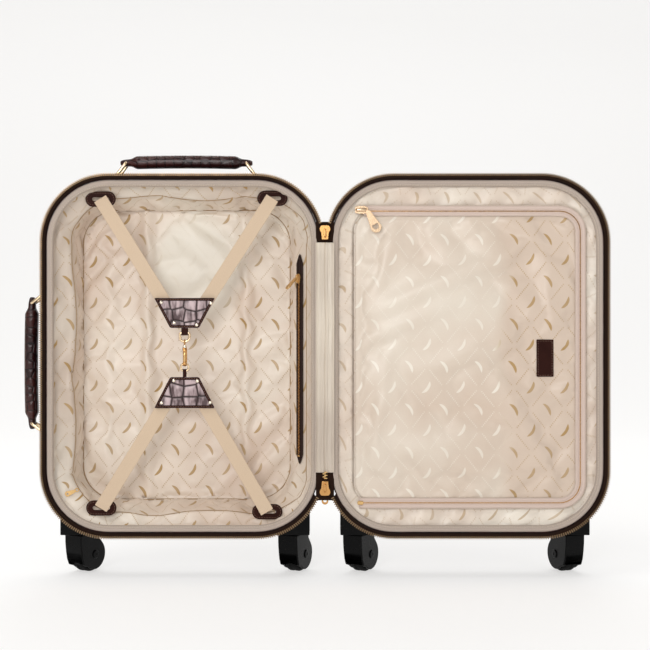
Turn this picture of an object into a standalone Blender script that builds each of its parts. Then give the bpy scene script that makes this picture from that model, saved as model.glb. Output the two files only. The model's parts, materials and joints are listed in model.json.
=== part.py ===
"""Hard shell cabin suitcase on four swivelling casters, standing open like a book.

Metres, +Z up. The case half (with the handles) lies at -X, the lid half at +X, and both
open towards -Y. Lengths inside the shapes are given from the hinge line: u is the distance
from it, so x = -u on the case half and x = +u on the lid half, and y = 0 is the rim plane.
"""
import math

import bmesh
import bpy
from mathutils import Vector

# Shells
HALF_GAP = 0.008          # hinge line to the edge of each shell
WIDTH = 0.366             # one shell
HEIGHT = 0.474
BOTTOM = 0.0625           # underside of the shells above the floor
DEPTH = 0.102
CORNER = 0.084            # corner radius seen from the front
BACK_EDGE = 0.024         # radius between walls and back
WALL = 0.0025
ARC_STEPS = 6
CENTRE_U = HALF_GAP + WIDTH / 2
TOP = BOTTOM + HEIGHT
CENTRE_Z = BOTTOM + HEIGHT / 2
CASE, LID = -1, 1

# Frame: the origin is the middle of the object's box, on the floor
HINGE_X = 0.01395
RIM_Y = -0.04575
CLOSING_PLANE = -0.007    # the rims meet here, and the hinge axis lies in it

# Main zip, open only at its two ends on the hinge side (degrees left off the end corners)
ZIP_TOP_END = 15.5
ZIP_BOTTOM_END = 23.0
MAIN_SLIDER_Z = (0.4643, 0.1232)

# Trolley handle
TROLLEY_Y = 0.0845
TROLLEY_HALF = 0.070      # middle of the case half to each tube
TUBE_FOOT = 0.100

# Carry handles: feet and tops of their rings, and the rings' places on the shell
RING_FOOT = (0.097, 0.0045)
RING_TOP = (0.081, 0.0255)
RING_BAR = 0.0016
HANDLE_Y = 0.034

# Cross straps and their clasp
STRAP_X = -0.189
CLASP_Y = 0.0100
STRAP_WIDTH = 0.0185

# Casters
PIVOT_OUT = 0.146         # middle of a shell to each swivel axis
PIVOT_Y = 0.052
WHEEL_R = 0.024
TRAIL = 0.014
FORK_TOP = 0.0537
HOUSING_BOTTOM = 0.0543

# Divider panel of the lid
PANEL = (0.040, 0.346, 0.102, 0.494)
PANEL_CORNER = 0.028


def clear_scene():
    for obj in list(bpy.data.objects):
        bpy.data.objects.remove(obj, do_unlink=True)


def material(name, colour, roughness, metallic=0.0):
    made = bpy.data.materials.get(name)
    if made:
        return made
    made = bpy.data.materials.new(name)
    made.use_nodes = True
    shader = made.node_tree.nodes["Principled BSDF"]
    shader.inputs["Base Color"].default_value = (*colour, 1)
    shader.inputs["Roughness"].default_value = roughness
    shader.inputs["Metallic"].default_value = metallic
    return made


def croc():
    return material("croc_leather", (0.030, 0.010, 0.011), 0.32)


def brass():
    return material("pale_brass", (0.80, 0.58, 0.33), 0.22, 1.0)


def brown_tape():
    return material("brown_tape", (0.045, 0.022, 0.018), 0.75)


def lining():
    return material("satin_lining", (0.70, 0.60, 0.48), 0.5)


def trim():
    return material("grey_binding", (0.56, 0.49, 0.42), 0.6)


def webbing():
    return material("beige_webbing", (0.74, 0.58, 0.40), 0.7)


def black_plastic():
    return material("black_plastic", (0.012, 0.012, 0.013), 0.42)


def tyre_rubber():
    return material("tyre_rubber", (0.018, 0.018, 0.018), 0.7)


def aluminium():
    return material("satin_aluminium", (0.62, 0.60, 0.57), 0.3, 1.0)


# ---------------------------------------------------------------- building blocks

def frame_empty(name, place=(0, 0, 0), turn=(0, 0, 0), parent=None):
    empty = bpy.data.objects.new(name, None)
    bpy.context.scene.collection.objects.link(empty)
    empty.location = place
    empty.rotation_euler = turn
    empty.parent = parent
    return empty


def loft(rings, closed=False):
    """A body through rings of equal length: a chain with two caps, or a closed loop."""
    bm = bmesh.new()
    verts = [[bm.verts.new(p) for p in ring] for ring in rings]
    count = len(verts[0])
    last = len(verts) if closed else len(verts) - 1
    for i in range(last):
        a, b = verts[i], verts[(i + 1) % len(verts)]
        for j in range(count):
            k = (j + 1) % count
            bm.faces.new((a[j], a[k], b[k], b[j]))
    if not closed:
        bm.faces.new(list(reversed(verts[0])))
        bm.faces.new(verts[-1])
    bmesh.ops.recalc_face_normals(bm, faces=bm.faces)
    return bm


def place(name, bm, mat, parent, pivot=(0, 0, 0)):
    """Make the object, with its origin moved to the pivot."""
    bmesh.ops.translate(bm, vec=-Vector(pivot), verts=bm.verts)
    mesh = bpy.data.meshes.new(name)
    bm.to_mesh(mesh)
    bm.free()
    mesh.materials.append(mat)
    mesh.shade_smooth()
    mesh.set_sharp_from_angle(angle=math.radians(35))
    obj = bpy.data.objects.new(name, mesh)
    bpy.context.scene.collection.objects.link(obj)
    obj.parent = parent
    obj.location = pivot
    return obj


def combine(obj, tool, operation):
    """Cut or join with a hidden tool object."""
    tool.hide_render = True
    tool.display_type = "WIRE"
    step = obj.modifiers.new(operation.lower(), "BOOLEAN")
    step.operation = operation
    step.solver = "EXACT"
    step.object = tool


def prism(outline, low, high, axis):
    """An outline drawn square to an axis, (x, z) for Y, (y, z) for X and (x, y) for Z."""
    makers = {
        "X": lambda a, b, t: (t, a, b),
        "Y": lambda a, b, t: (a, t, b),
        "Z": lambda a, b, t: (a, b, t),
    }
    put = makers[axis]
    return loft([[put(a, b, t) for a, b in outline] for t in (low, high)])


def box(x0, x1, y0, y1, z0, z1):
    return prism(((x0, y0), (x1, y0), (x1, y1), (x0, y1)), z0, z1, "Z")


def arc(ca, cb, radius, start, end, steps=ARC_STEPS):
    """Points on an arc, angles in degrees."""
    angles = [math.radians(start + (end - start) * i / steps) for i in range(steps + 1)]
    return [(ca + radius * math.cos(t), cb + radius * math.sin(t)) for t in angles]


def stepped_arc(ca, cb, radius, start, end):
    """An arc whose points fall on the shell's own facet corners, with exact ends."""
    step = 90 / ARC_STEPS
    low, high = min(start, end), max(start, end)
    inner = [k * step for k in range(math.ceil(low / step), math.floor(high / step) + 1)]
    angles = sorted({low, high, *inner}, reverse=start > end)
    turns = [math.radians(t) for t in angles]
    return [(ca + radius * math.cos(t), cb + radius * math.sin(t)) for t in turns]


def rounded_rect(a0, a1, b0, b1, radius, steps=ARC_STEPS):
    return (
        arc(a1 - radius, b1 - radius, radius, 0, 90, steps)
        + arc(a0 + radius, b1 - radius, radius, 90, 180, steps)
        + arc(a0 + radius, b0 + radius, radius, 180, 270, steps)
        + arc(a1 - radius, b0 + radius, radius, 270, 360, steps)
    )


def sweep(path, radius, normal, sides=8, closed=False):
    """A round bar along a flat path whose plane has the given normal."""
    normal = Vector(normal).normalized()
    points = [Vector(p) for p in path]
    count = len(points)
    rings = []
    for i, point in enumerate(points):
        before = points[(i - 1) % count] if closed or i else point
        after = points[(i + 1) % count] if closed or i < count - 1 else point
        across = (after - before).normalized().cross(normal)
        spokes = [2 * math.pi * (k + 0.5) / sides for k in range(sides)]
        rings.append(
            [point + radius * (math.cos(t) * across + math.sin(t) * normal) for t in spokes]
        )
    return loft(rings, closed)


def turned(profile, centre, axis, steps, closed=False):
    """A turned solid from (radius, distance along the axis) points.

    Radii are to the flats of the facets, and a flat faces down.
    """
    axis = Vector(axis).normalized()
    down = Vector((0, 0, -1)) if abs(axis.z) < 0.9 else Vector((0, -1, 0))
    across = axis.cross(down)
    to_corner = 1 / math.cos(math.pi / steps)
    rings = []
    for radius, along in profile:
        spokes = [2 * math.pi * (k + 0.5) / steps for k in range(steps)]
        rings.append(
            [
                Vector(centre) + along * axis
                + radius * to_corner * (math.cos(t) * down + math.sin(t) * across)
                for t in spokes
            ]
        )
    return loft(rings, closed)


def rim_ring(side, insets, y, radius=None):
    """A ring round a half, inset from the shell by (hinge, far, top, bottom)."""
    hinge, far, top, bottom = insets
    radius = radius or CORNER - sum(insets) / 4
    outline = rounded_rect(
        HALF_GAP + hinge, HALF_GAP + WIDTH - far, BOTTOM + bottom, TOP - top, radius
    )
    return [Vector((side * u, y, z)) for u, z in outline]


def skin(side, levels, thickness):
    """A thin tub through levels of (hinge, far, top, bottom, y), thickened inwards.

    A level may add the corner radius it has, where it doesn't follow the shell's.
    """
    profile = [(sum(level[:4]) / 4, level[4]) for level in levels]
    outer, inner = [], []
    for i, level in enumerate(levels):
        before, after = profile[max(i - 1, 0)], profile[min(i + 1, len(profile) - 1)]
        run = Vector((after[0] - before[0], after[1] - before[1])).normalized()
        shift_in, shift_y = thickness * run.y, -thickness * run.x
        radius = level[5] if len(level) > 5 else CORNER - profile[i][0]
        outer.append(rim_ring(side, level[:4], level[4], radius))
        insets = [inset + shift_in for inset in level[:4]]
        inner.append(rim_ring(side, insets, level[4] + shift_y, radius - shift_in))
    return loft(list(reversed(outer)) + inner)


def zip_path(side, inset, y):
    """The way of the main zip round a half, from its top end to its bottom end."""
    u0, u1 = HALF_GAP + CORNER, HALF_GAP + WIDTH - CORNER
    z0, z1 = BOTTOM + CORNER, TOP - CORNER
    radius = CORNER - inset
    way = (
        stepped_arc(u0, z1, radius, 180 - ZIP_TOP_END, 90)
        + stepped_arc(u1, z1, radius, 90, 0)
        + stepped_arc(u1, z0, radius, 0, -90)
        + stepped_arc(u0, z0, radius, -90, -180 + ZIP_BOTTOM_END)
    )
    return [Vector((side * u, y, z)) for u, z in way]


# ---------------------------------------------------------------- shells and rims

def shell(name, side, root):
    """The moulded half: straight walls, a rounded back edge and a flat back."""
    def surface(inset):
        radius = BACK_EDGE - inset
        turn = arc(inset + radius, DEPTH - BACK_EDGE, radius, 180, 90, 5)
        rows = [(inset, 0.0)] + turn
        return [rim_ring(side, (a,) * 4, y) for a, y in rows]
    outside = surface(0.0)
    inside = surface(WALL)
    return place(name, loft(list(reversed(outside)) + inside), croc(), root)


def zip_tape(name, side, root):
    """Tape sewn round the shell, splayed outwards, with the row of teeth on its edge."""
    section = (
        (-0.0004, 0.0080), (-0.0004, -0.0009), (-0.0049, -0.0054), (-0.0054, -0.0064),
        (-0.0080, -0.0064), (-0.0080, -0.0044), (-0.0056, -0.0044), (-0.0014, -0.0002),
        (-0.0014, 0.0080),
    )
    ways = [zip_path(side, inset, y) for inset, y in section]
    rings = [[way[i] for way in ways] for i in range(len(ways[0]))]
    place(name, loft(rings), brown_tape(), root)


def rim_trim(name, side, root):
    """Soft binding that covers the shell's inner edge."""
    section = (
        (0.0028, 0.0003), (0.0034, -0.0016), (0.0052, -0.0024), (0.0082, -0.0020),
        (0.0102, -0.0004), (0.0104, 0.0020), (0.0096, 0.0042), (0.0028, 0.0042),
    )
    rings = [rim_ring(side, (inset,) * 4, y) for inset, y in section]
    place(name, loft(rings, closed=True), trim(), root)


def hinge_gusset(root):
    """Pleated fabric that joins the two halves along the hinge side."""
    bm = box(-0.011, 0.011, -0.0042, -0.0030, 0.142, 0.453)
    place("hinge_gusset", bm, lining(), root)


def main_slider(name, z, wide_end, root):
    """A main zip slider with its wide end up (1) or down (-1), and its puller behind."""
    outline = (
        (-0.0045, -0.0090), (0.0045, -0.0090), (0.0050, -0.0010), (0.0070, 0.0030),
        (0.0070, 0.0065), (0.0050, 0.0090), (-0.0050, 0.0090), (-0.0070, 0.0065),
        (-0.0070, 0.0030), (-0.0050, -0.0010),
    )
    shape = [(x, z + wide_end * dz) for x, dz in outline]
    front, back = CLOSING_PLANE - 0.0035, CLOSING_PLANE + 0.0035
    place(f"{name}_slider", prism(shape, front, back, "Y"), brass(), root)
    pivot = (0.0, back + 0.0021, z + 0.004)
    tab = (
        [(-0.0030, pivot[2] + 0.0012), (-0.0045, z - 0.018)]
        + arc(0.0, z - 0.018, 0.0045, 180, 360, 6)[1:]
        + [(0.0030, pivot[2] + 0.0012)]
    )
    bm = prism(tab, back + 0.0012, back + 0.0030, "Y")
    place(f"{name}_puller", bm, brass(), root, pivot)


# ---------------------------------------------------------------- inside the case half

def case_lining(root):
    levels = (
        (0.0031, 0.0031, 0.0031, 0.0031, 0.0048), (0.005, 0.005, 0.005, 0.005, 0.016),
        (0.011, 0.012, 0.012, 0.012, 0.021), (0.017, 0.034, 0.024, 0.024, 0.024),
        (0.033, 0.035, 0.029, 0.029, 0.045), (0.040, 0.037, 0.036, 0.036, 0.070),
    )
    place("case_lining", skin(CASE, levels, 0.0012), lining(), root)


def strap(name, patch, end, root):
    """Webbing from the slot of its leather patch to the back of a clasp plate."""
    start, stop = Vector(patch), Vector(end)
    along = (stop - start).normalized()
    across = Vector((-along.y, along.x)) * STRAP_WIDTH / 2
    corners = (start - across, start + across, stop + across, stop - across)
    bm = prism([tuple(c) for c in corners], 0.0114, 0.0129, "Y")
    place(f"strap_{name}", bm, webbing(), root)
    oval = rounded_rect(
        patch[0] - 0.0205, patch[0] + 0.0205, patch[1] - 0.010, patch[1] + 0.010, 0.0099, 5
    )
    place(f"strap_patch_{name}", prism(oval, 0.0132, 0.0146, "Y"), croc(), root)


def straps(root):
    """Four straps: (name, place of the patch, end under the clasp plate), as (x, z)."""
    places = (
        ("upper_left", (-0.303, 0.511), (-0.203, 0.350)),
        ("upper_right", (-0.071, 0.512), (-0.175, 0.350)),
        ("lower_left", (-0.302, 0.094), (-0.203, 0.255)),
        ("lower_right", (-0.078, 0.089), (-0.175, 0.255)),
    )
    for name, patch, end in places:
        strap(name, patch, end, root)


def clasp_plate(name, z_wide, z_narrow, tab_end, tab_half, hole_z, hole_r, root):
    """A leather trapezium that gathers two straps, with the tab that holds a ring."""
    outline = (
        (STRAP_X - 0.041, z_wide), (STRAP_X - 0.0195, z_narrow), (STRAP_X - tab_half, z_narrow),
        (STRAP_X - tab_half, tab_end), (STRAP_X + tab_half, tab_end),
        (STRAP_X + tab_half, z_narrow), (STRAP_X + 0.0195, z_narrow), (STRAP_X + 0.041, z_wide),
    )
    bm = prism(outline, CLASP_Y - 0.0022, CLASP_Y + 0.0009, "Y")
    plate = place(f"{name}_clasp_plate", bm, croc(), root)
    lug = box(
        STRAP_X - tab_half, STRAP_X + tab_half, CLASP_Y - 0.003, CLASP_Y + 0.003,
        hole_z - 0.003, hole_z + 0.003,
    )
    combine(plate, place(f"tool_{name}_lug", lug, croc(), root), "UNION")
    hole = turned(((hole_r, -0.012), (hole_r, 0.012)), (STRAP_X, CLASP_Y, hole_z), (1, 0, 0), 12)
    combine(plate, place(f"tool_{name}_hole", hole, croc(), root), "DIFFERENCE")


def clasp(root):
    """Two plates, a D ring, a swivelling snap hook with its gate, and the ring it holds."""
    clasp_plate("upper", 0.3774, 0.3370, 0.3270, 0.0045, 0.3300, 0.0016, root)
    clasp_plate("lower", 0.2291, 0.2709, 0.2817, 0.0024, 0.2787, 0.0019, root)
    half, drop = 0.0065, 0.3250
    d_way = [(STRAP_X + a, CLASP_Y, b) for a, b in
             rounded_rect(-half, half, drop - 0.001, 0.3300, 0.0015, 2)[:6]
             + arc(0, drop, half, 180, 360, 8)]
    place("upper_d_ring", sweep(d_way, 0.0011, (0, 1, 0), 8, True), brass(), root)
    ring_way = [(STRAP_X + a, CLASP_Y, b) for a, b in arc(0, 0.2840, 0.0053, 0, 340, 17)]
    place("lower_ring", sweep(ring_way, 0.0010, (0, 1, 0), 8, True), brass(), root)
    spine = (
        (-0.0037, 0.3056), (-0.0037, 0.3068), (-0.0024, 0.3084), (0.0, 0.3090),
        (0.0026, 0.3084), (0.0038, 0.3060), (0.0038, 0.2920), (0.0026, 0.2882),
        (0.0, 0.2866), (-0.0026, 0.2880), (-0.0037, 0.2906),
    )
    way = [(STRAP_X, CLASP_Y + a, b) for a, b in spine]
    hook = place("clasp_hook", sweep(way, 0.0014, (1, 0, 0), 8), brass(), root,
                 (STRAP_X, CLASP_Y, 0.300))
    barrel = turned(
        ((0.0020, 0.3092), (0.0026, 0.3100), (0.0027, 0.3120), (0.0020, 0.3134), (0.0011, 0.3146)),
        (STRAP_X, CLASP_Y, 0), (0, 0, 1), 12,
    )
    combine(hook, place("tool_hook_barrel", barrel, brass(), root), "UNION")
    eye_way = [(STRAP_X, CLASP_Y + a, b) for a, b in arc(0, 0.3176, 0.0030, 0, 330, 11)]
    eye = sweep(eye_way, 0.0008, (1, 0, 0), 6, True)
    combine(hook, place("tool_hook_eye", eye, brass(), root), "UNION")
    gate_way = [(STRAP_X, CLASP_Y - 0.0037, z) for z in (0.3050, 0.2985, 0.2912)]
    place("clasp_gate", sweep(gate_way, 0.0011, (1, 0, 0), 8), brass(), root,
          (STRAP_X, CLASP_Y - 0.0037, 0.3045))


def pocket_zip(root):
    """A zip on the sloping hinge-side wall of the lining, with slider and puller."""
    slope = math.atan2(0.021, -0.016)
    wall = frame_empty("pocket_wall", (-0.033, 0.0345, 0), (0, 0, slope), root)
    # local X runs along the slope away from the opening, and local Y faces out of the wall
    tape = prism(
        ((-0.006, 0.160), (0.0, 0.152), (0.006, 0.160), (0.006, 0.429), (0.0, 0.437),
         (-0.006, 0.429)), 0.0018, 0.0028, "Y",
    )
    place("pocket_zip_tape", tape, brown_tape(), wall)
    slider_z = 0.4045
    body = (
        (-0.0042, -0.006), (0.0042, -0.006), (0.0048, 0.004), (0.003, 0.006),
        (-0.003, 0.006), (-0.0048, 0.004),
    )
    bm = prism([(x, slider_z + dz) for x, dz in body], 0.0031, 0.0075, "Y")
    place("pocket_slider", bm, brass(), wall, (0, 0.005, slider_z))
    tab = [(-0.0028, 0.0)] + arc(0, -0.0165, 0.0045, 180, 360, 6) + [(0.0028, 0.0)]
    puller = place("pocket_puller", prism(tab, -0.0008, 0.0008, "Y"), brass(), wall)
    puller.location = (0, 0.0094, slider_z)
    puller.rotation_euler = (math.radians(45), 0, 0)


# ---------------------------------------------------------------- inside the lid half

def lid_lining(root):
    """The border round the divider, and the tub behind it."""
    levels = (
        (0.0031, 0.0031, 0.0031, 0.0031, 0.0066), (0.008, 0.008, 0.008, 0.008, 0.0094),
        (0.029, 0.025, 0.039, 0.036, 0.0112, 0.031), (0.029, 0.025, 0.039, 0.036, 0.0130, 0.031),
        (0.009, 0.009, 0.009, 0.009, 0.021), (0.006, 0.006, 0.006, 0.006, 0.030),
        (0.007, 0.007, 0.007, 0.007, 0.070), (0.016, 0.016, 0.016, 0.016, 0.090),
        (0.030, 0.030, 0.030, 0.030, 0.0965),
    )
    place("lid_lining", skin(LID, levels, 0.0012), lining(), root)


def divider(root):
    """The zipped panel, which folds out about its sewn edge, with slider and puller."""
    x0, x1, z0, z1 = PANEL
    hinge = (x0, 0.009, 0)
    bm = prism(rounded_rect(x0, x1, z0, z1, PANEL_CORNER), 0.0075, 0.0105, "Y")
    place("divider_panel", bm, lining(), root, hinge)
    body = (
        (-0.0085, -0.0045), (0.004, -0.0052), (0.0085, -0.003), (0.0085, 0.003),
        (0.004, 0.0052), (-0.0085, 0.0045),
    )
    slider = (0.049, 0.0045, 0.4956)
    bm = prism([(slider[0] + a, slider[2] + b) for a, b in body], 0.0020, 0.0070, "Y")
    place("divider_slider", bm, brass(), root, slider)
    tab = [(-0.0025, 0.0)] + arc(0, -0.0265, 0.0072, 180, 360, 8) + [(0.0025, 0.0)]
    puller = place("divider_puller", prism(tab, -0.0008, 0.0008, "Y"), brass(), root)
    puller.location = (0.056, 0.0007, 0.4956)
    puller.rotation_euler = (0, math.radians(-28), 0)


# ---------------------------------------------------------------- carry handles

def handle_ring(name, end, mat, frame):
    """A leaning ring of round bar; its foot bar turns in the anchor."""
    foot = Vector((end * RING_FOOT[0], RING_FOOT[1]))
    top = Vector((end * RING_TOP[0], RING_TOP[1]))
    rise = top - foot
    way = []
    for y, b in rounded_rect(-0.010, 0.010, 0.0, rise.length, 0.004, 3):
        along = foot + rise * (b / rise.length)
        way.append((along.x, y, along.y))
    normal = Vector((rise.y, 0, -rise.x))
    bm = sweep(way, RING_BAR, normal, 6, True)
    place(name, bm, mat, frame, (foot.x, 0, foot.y))


def handle_anchor(name, end, mat, frame):
    """A saddle on the shell, open towards it, over the ring's foot bar."""
    a, h = end * RING_FOOT[0], RING_FOOT[1]
    base, flange = 0.0003, 0.0018
    outline = (
        [(a - 0.009, base), (a - 0.009, flange), (a - 0.0042, flange)]
        + arc(a, h, 0.0042, 180, 0, 6)
        + [(a + 0.0042, flange), (a + 0.009, flange), (a + 0.009, base), (a + 0.0022, base)]
        + arc(a, h, 0.0022, 0, 180, 6)
        + [(a - 0.0022, base)]
    )
    place(name, prism(outline, -0.0055, 0.0055, "Y"), mat, frame)


def handle_grip(name, frame):
    """A padded grip, arched a little, with a cross hole near each end for the rings."""
    half_length = 0.090
    rings = []
    for i in range(13):
        a = half_length * math.sin(math.pi / 2 * (i / 6 - 1))
        share = abs(a) / half_length
        height = RING_TOP[1] + 0.0016 * (1 - share ** 2)
        thick = 0.0046 + 0.0044 * (1 - share ** 6)
        blend = min(max((0.076 - abs(a)) / 0.014, 0.0), 1.0)
        wide = 0.0073 + 0.0037 * blend * blend * (3 - 2 * blend)
        ring = []
        for k in range(10):
            t = 2 * math.pi * (k + 0.5) / 10
            c, s = math.cos(t), math.sin(t)
            ring.append((
                a,
                wide * math.copysign(abs(c) ** 0.7, c),
                height + thick * math.copysign(abs(s) ** 0.7, s),
            ))
        rings.append(ring)
    pivot = (-RING_TOP[0], 0, RING_TOP[1])
    grip = place(name, loft(rings), croc(), frame, pivot)
    for end in (-1, 1):
        profile = ((0.0023, -0.02), (0.0023, 0.02))
        hole = turned(profile, (end * RING_TOP[0], 0, RING_TOP[1]), (0, 1, 0), 12)
        combine(grip, place(f"tool_{name}_hole_{end}", hole, brass(), frame), "DIFFERENCE")


def carry_handle(prefix, where, turn, ends, root):
    """Handle frame: local X along the grip, local Z away from the shell."""
    frame = frame_empty(f"{prefix}_frame", where, turn, root)
    handle_grip(f"{prefix}_grip", frame)
    for end, word in zip((-1, 1), ends):
        handle_ring(f"{prefix}_ring_{word}", end, brass(), frame)
        handle_anchor(f"{prefix}_anchor_{word}", end, brass(), frame)


# ---------------------------------------------------------------- trolley handle

def tube(half_x, half_y, wall, z0, z1, centre_x):
    """A hollow tube of rounded rectangular section, open at both ends."""
    def outline(inset):
        a, b = half_x - inset, half_y - inset
        return rounded_rect(
            centre_x - a, centre_x + a, TROLLEY_Y - b, TROLLEY_Y + b, min(a, b) * 0.7, 2
        )
    rows = ((0, z0), (0, z1), (wall, z1), (wall, z0))
    return loft([[(x, y, z) for x, y in outline(inset)] for inset, z in rows], closed=True)


def trolley(root):
    """Frame with two outer tubes, two stage tubes, the U-shaped handle and its button."""
    middle = -CENTRE_U
    y0, y1 = 0.0715, 0.0975
    well_floor = 0.512
    block = prism(
        rounded_rect(middle - 0.092, middle + 0.092, y0, y1, 0.005, 3), 0.498, TOP + 0.002, "Z"
    )
    frame = place("trolley_frame", block, black_plastic(), root)
    well = box(middle - 0.084, middle + 0.084, y0 + 0.0035, y1 - 0.0035, well_floor, TOP + 0.01)
    combine(frame, place("tool_trolley_well", well, black_plastic(), root), "DIFFERENCE")
    opening = prism(
        rounded_rect(middle - 0.0923, middle + 0.0923, y0 - 0.0003, y1 + 0.0003, 0.005, 3),
        0.505, TOP + 0.01, "Z",
    )
    shell_cut = place("tool_trolley_opening", opening, black_plastic(), root)
    u_shape = []
    for end, word in ((-1, "left"), (1, "right")):
        x = middle + end * TROLLEY_HALF
        outer = tube(0.0110, 0.0060, 0.0012, TUBE_FOOT, 0.4990, x)
        combine(frame, place(f"tool_outer_tube_{word}", outer, aluminium(), root), "UNION")
        bore = prism(
            rounded_rect(x - 0.0096, x + 0.0096, TROLLEY_Y - 0.0046, TROLLEY_Y + 0.0046, 0.003, 2),
            0.4900, well_floor + 0.005, "Z",
        )
        combine(frame, place(f"tool_bore_{word}", bore, aluminium(), root), "DIFFERENCE")
        stage = tube(0.0090, 0.0040, 0.0009, TUBE_FOOT + 0.010, well_floor + 0.001, x)
        place(f"trolley_stage_{word}", stage, aluminium(), root)
        u_shape.append(prism(
            rounded_rect(x - 0.0075, x + 0.0075, TROLLEY_Y - 0.0026, TROLLEY_Y + 0.0026, 0.002, 2),
            TUBE_FOOT + 0.018, 0.520, "Z",
        ))
    grip = prism(
        rounded_rect(middle - 0.082, middle + 0.082, TROLLEY_Y - 0.008, TROLLEY_Y + 0.008, 0.006, 4),
        0.516, TOP + 0.001, "Z",
    )
    handle = place("trolley_handle", grip, black_plastic(), root)
    for end, bar in enumerate(u_shape):
        combine(handle, place(f"tool_handle_bar_{end}", bar, aluminium(), root), "UNION")
    pocket = box(middle - 0.0163, middle + 0.0163, TROLLEY_Y - 0.0043, TROLLEY_Y + 0.0043,
                 0.5270, TOP + 0.01)
    combine(handle, place("tool_button_pocket", pocket, black_plastic(), root), "DIFFERENCE")
    button = prism(
        rounded_rect(middle - 0.016, middle + 0.016, TROLLEY_Y - 0.004, TROLLEY_Y + 0.004, 0.0035, 3),
        0.5315, TOP + 0.0022, "Z",
    )
    place("trolley_button", button, brass(), root)
    return shell_cut


# ---------------------------------------------------------------- casters

def wheel_housing(name, side, out, root):
    """A foot that wraps a lower corner of a shell and carries a caster."""
    c, z = CENTRE_U - HALF_GAP - CORNER, BOTTOM + CORNER
    start, end = 124, 170
    radius = CORNER + 0.0004
    first = -math.degrees(math.acos((end / 1000 - c) / radius))
    last = -math.degrees(math.acos((start / 1000 - c) / radius))
    outline = [(start / 1000, HOUSING_BOTTOM), (end / 1000, HOUSING_BOTTOM)]
    outline += arc(c, z, radius, first, last, 6)
    middle = side * CENTRE_U
    shape = [(middle + out * a, b) for a, b in outline]
    y0, y1 = PIVOT_Y - 0.022, PIVOT_Y + 0.024
    housing = place(name, prism(shape, y0, y1, "Y"), black_plastic(), root)
    pivot = (middle + out * PIVOT_OUT, PIVOT_Y, 0)
    socket = turned(((0.0046, 0.050), (0.0046, 0.0630)), pivot, (0, 0, 1), 12)
    combine(housing, place(f"tool_{name}_socket", socket, black_plastic(), root), "DIFFERENCE")


def caster(name, side, out, yaw, root):
    """A swivelling fork with cheeks, hood, stem and axle, and its wheel."""
    pivot = (side * CENTRE_U + out * PIVOT_OUT, PIVOT_Y, 0)
    turn = frame_empty(f"{name}_swivel", pivot, (0, 0, math.radians(yaw)), root)
    outline = (
        [(-0.017, FORK_TOP), (-0.0145, 0.016)]
        + arc(TRAIL, WHEEL_R, 0.0205, 215, 410, 9)
        + [(0.022, FORK_TOP)]
    )
    fork = place(f"{name}_fork", prism(outline, -0.0145, 0.0145, "X"), black_plastic(), turn)
    room = box(-0.011, 0.011, -0.0123, 0.05, -0.01, 0.0493)
    combine(fork, place(f"tool_{name}_room", room, black_plastic(), turn), "DIFFERENCE")
    stem = turned(((0.0040, 0.052), (0.0040, 0.0622)), (0, 0, 0), (0, 0, 1), 10)
    combine(fork, place(f"tool_{name}_stem", stem, black_plastic(), turn), "UNION")
    axle = turned(((0.0028, -0.013), (0.0028, 0.013)), (0, TRAIL, WHEEL_R), (1, 0, 0), 10)
    combine(fork, place(f"tool_{name}_axle", axle, black_plastic(), turn), "UNION")
    half = (
        (0.0034, 0.0090), (0.0095, 0.0080), (0.0185, 0.0072), (0.0215, 0.0088),
        (WHEEL_R, 0.0062),
    )
    profile = [(r, -t) for r, t in half] + [(r, t) for r, t in reversed(half)]
    axle_at = (0, TRAIL, WHEEL_R)
    wheel = turned(profile, axle_at, (1, 0, 0), 20, closed=True)
    place(f"{name}_wheel", wheel, tyre_rubber(), turn, axle_at)


def running_gear(root):
    """Four casters at the lower corners: (name, half, towards +X or -X, yaw at rest)."""
    corners = (
        ("case_outer", CASE, -1, -30), ("case_inner", CASE, 1, -24),
        ("lid_inner", LID, -1, -30), ("lid_outer", LID, 1, 20),
    )
    for name, side, out, yaw in corners:
        wheel_housing(f"{name}_housing", side, out, root)
        caster(name, side, out, yaw, root)


# ---------------------------------------------------------------- assembly

def build():
    clear_scene()
    root = frame_empty("suitcase", (HINGE_X, RIM_Y, 0))
    back = shell("back_shell", CASE, root)
    shell("front_shell", LID, root)
    for prefix, side in (("case", CASE), ("lid", LID)):
        zip_tape(f"{prefix}_zip_tape", side, root)
        rim_trim(f"{prefix}_rim_trim", side, root)
    hinge_gusset(root)
    main_slider("upper_main", MAIN_SLIDER_Z[0], 1, root)
    main_slider("lower_main", MAIN_SLIDER_Z[1], -1, root)
    case_lining(root)
    straps(root)
    clasp(root)
    pocket_zip(root)
    lid_lining(root)
    divider(root)
    carry_handle("top_handle", (-0.189, HANDLE_Y, TOP), (0, 0, 0), ("left", "right"), root)
    side_turn = (0, math.radians(-90), 0)
    side_place = (-(HALF_GAP + WIDTH), HANDLE_Y, 0.289)
    carry_handle("side_handle", side_place, side_turn, ("lower", "upper"), root)
    combine(back, trolley(root), "DIFFERENCE")
    running_gear(root)


build()
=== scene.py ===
"""Looks of the open suitcase: linings, straps, zips, leather and running gear on the CAD frame.

Metres, but for the tables inside mm(). Shapes are drawn from the hinge line, as in the CAD: x is
negative on the case half, y = 0 is the plane of the two rims and +Y is the back. Every piece's
object stands at ORIGIN.
"""
import json
import math

import bmesh
import bpy
import numpy as np
from mathutils import Matrix, Vector
from mathutils.geometry import delaunay_2d_cdt


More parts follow.
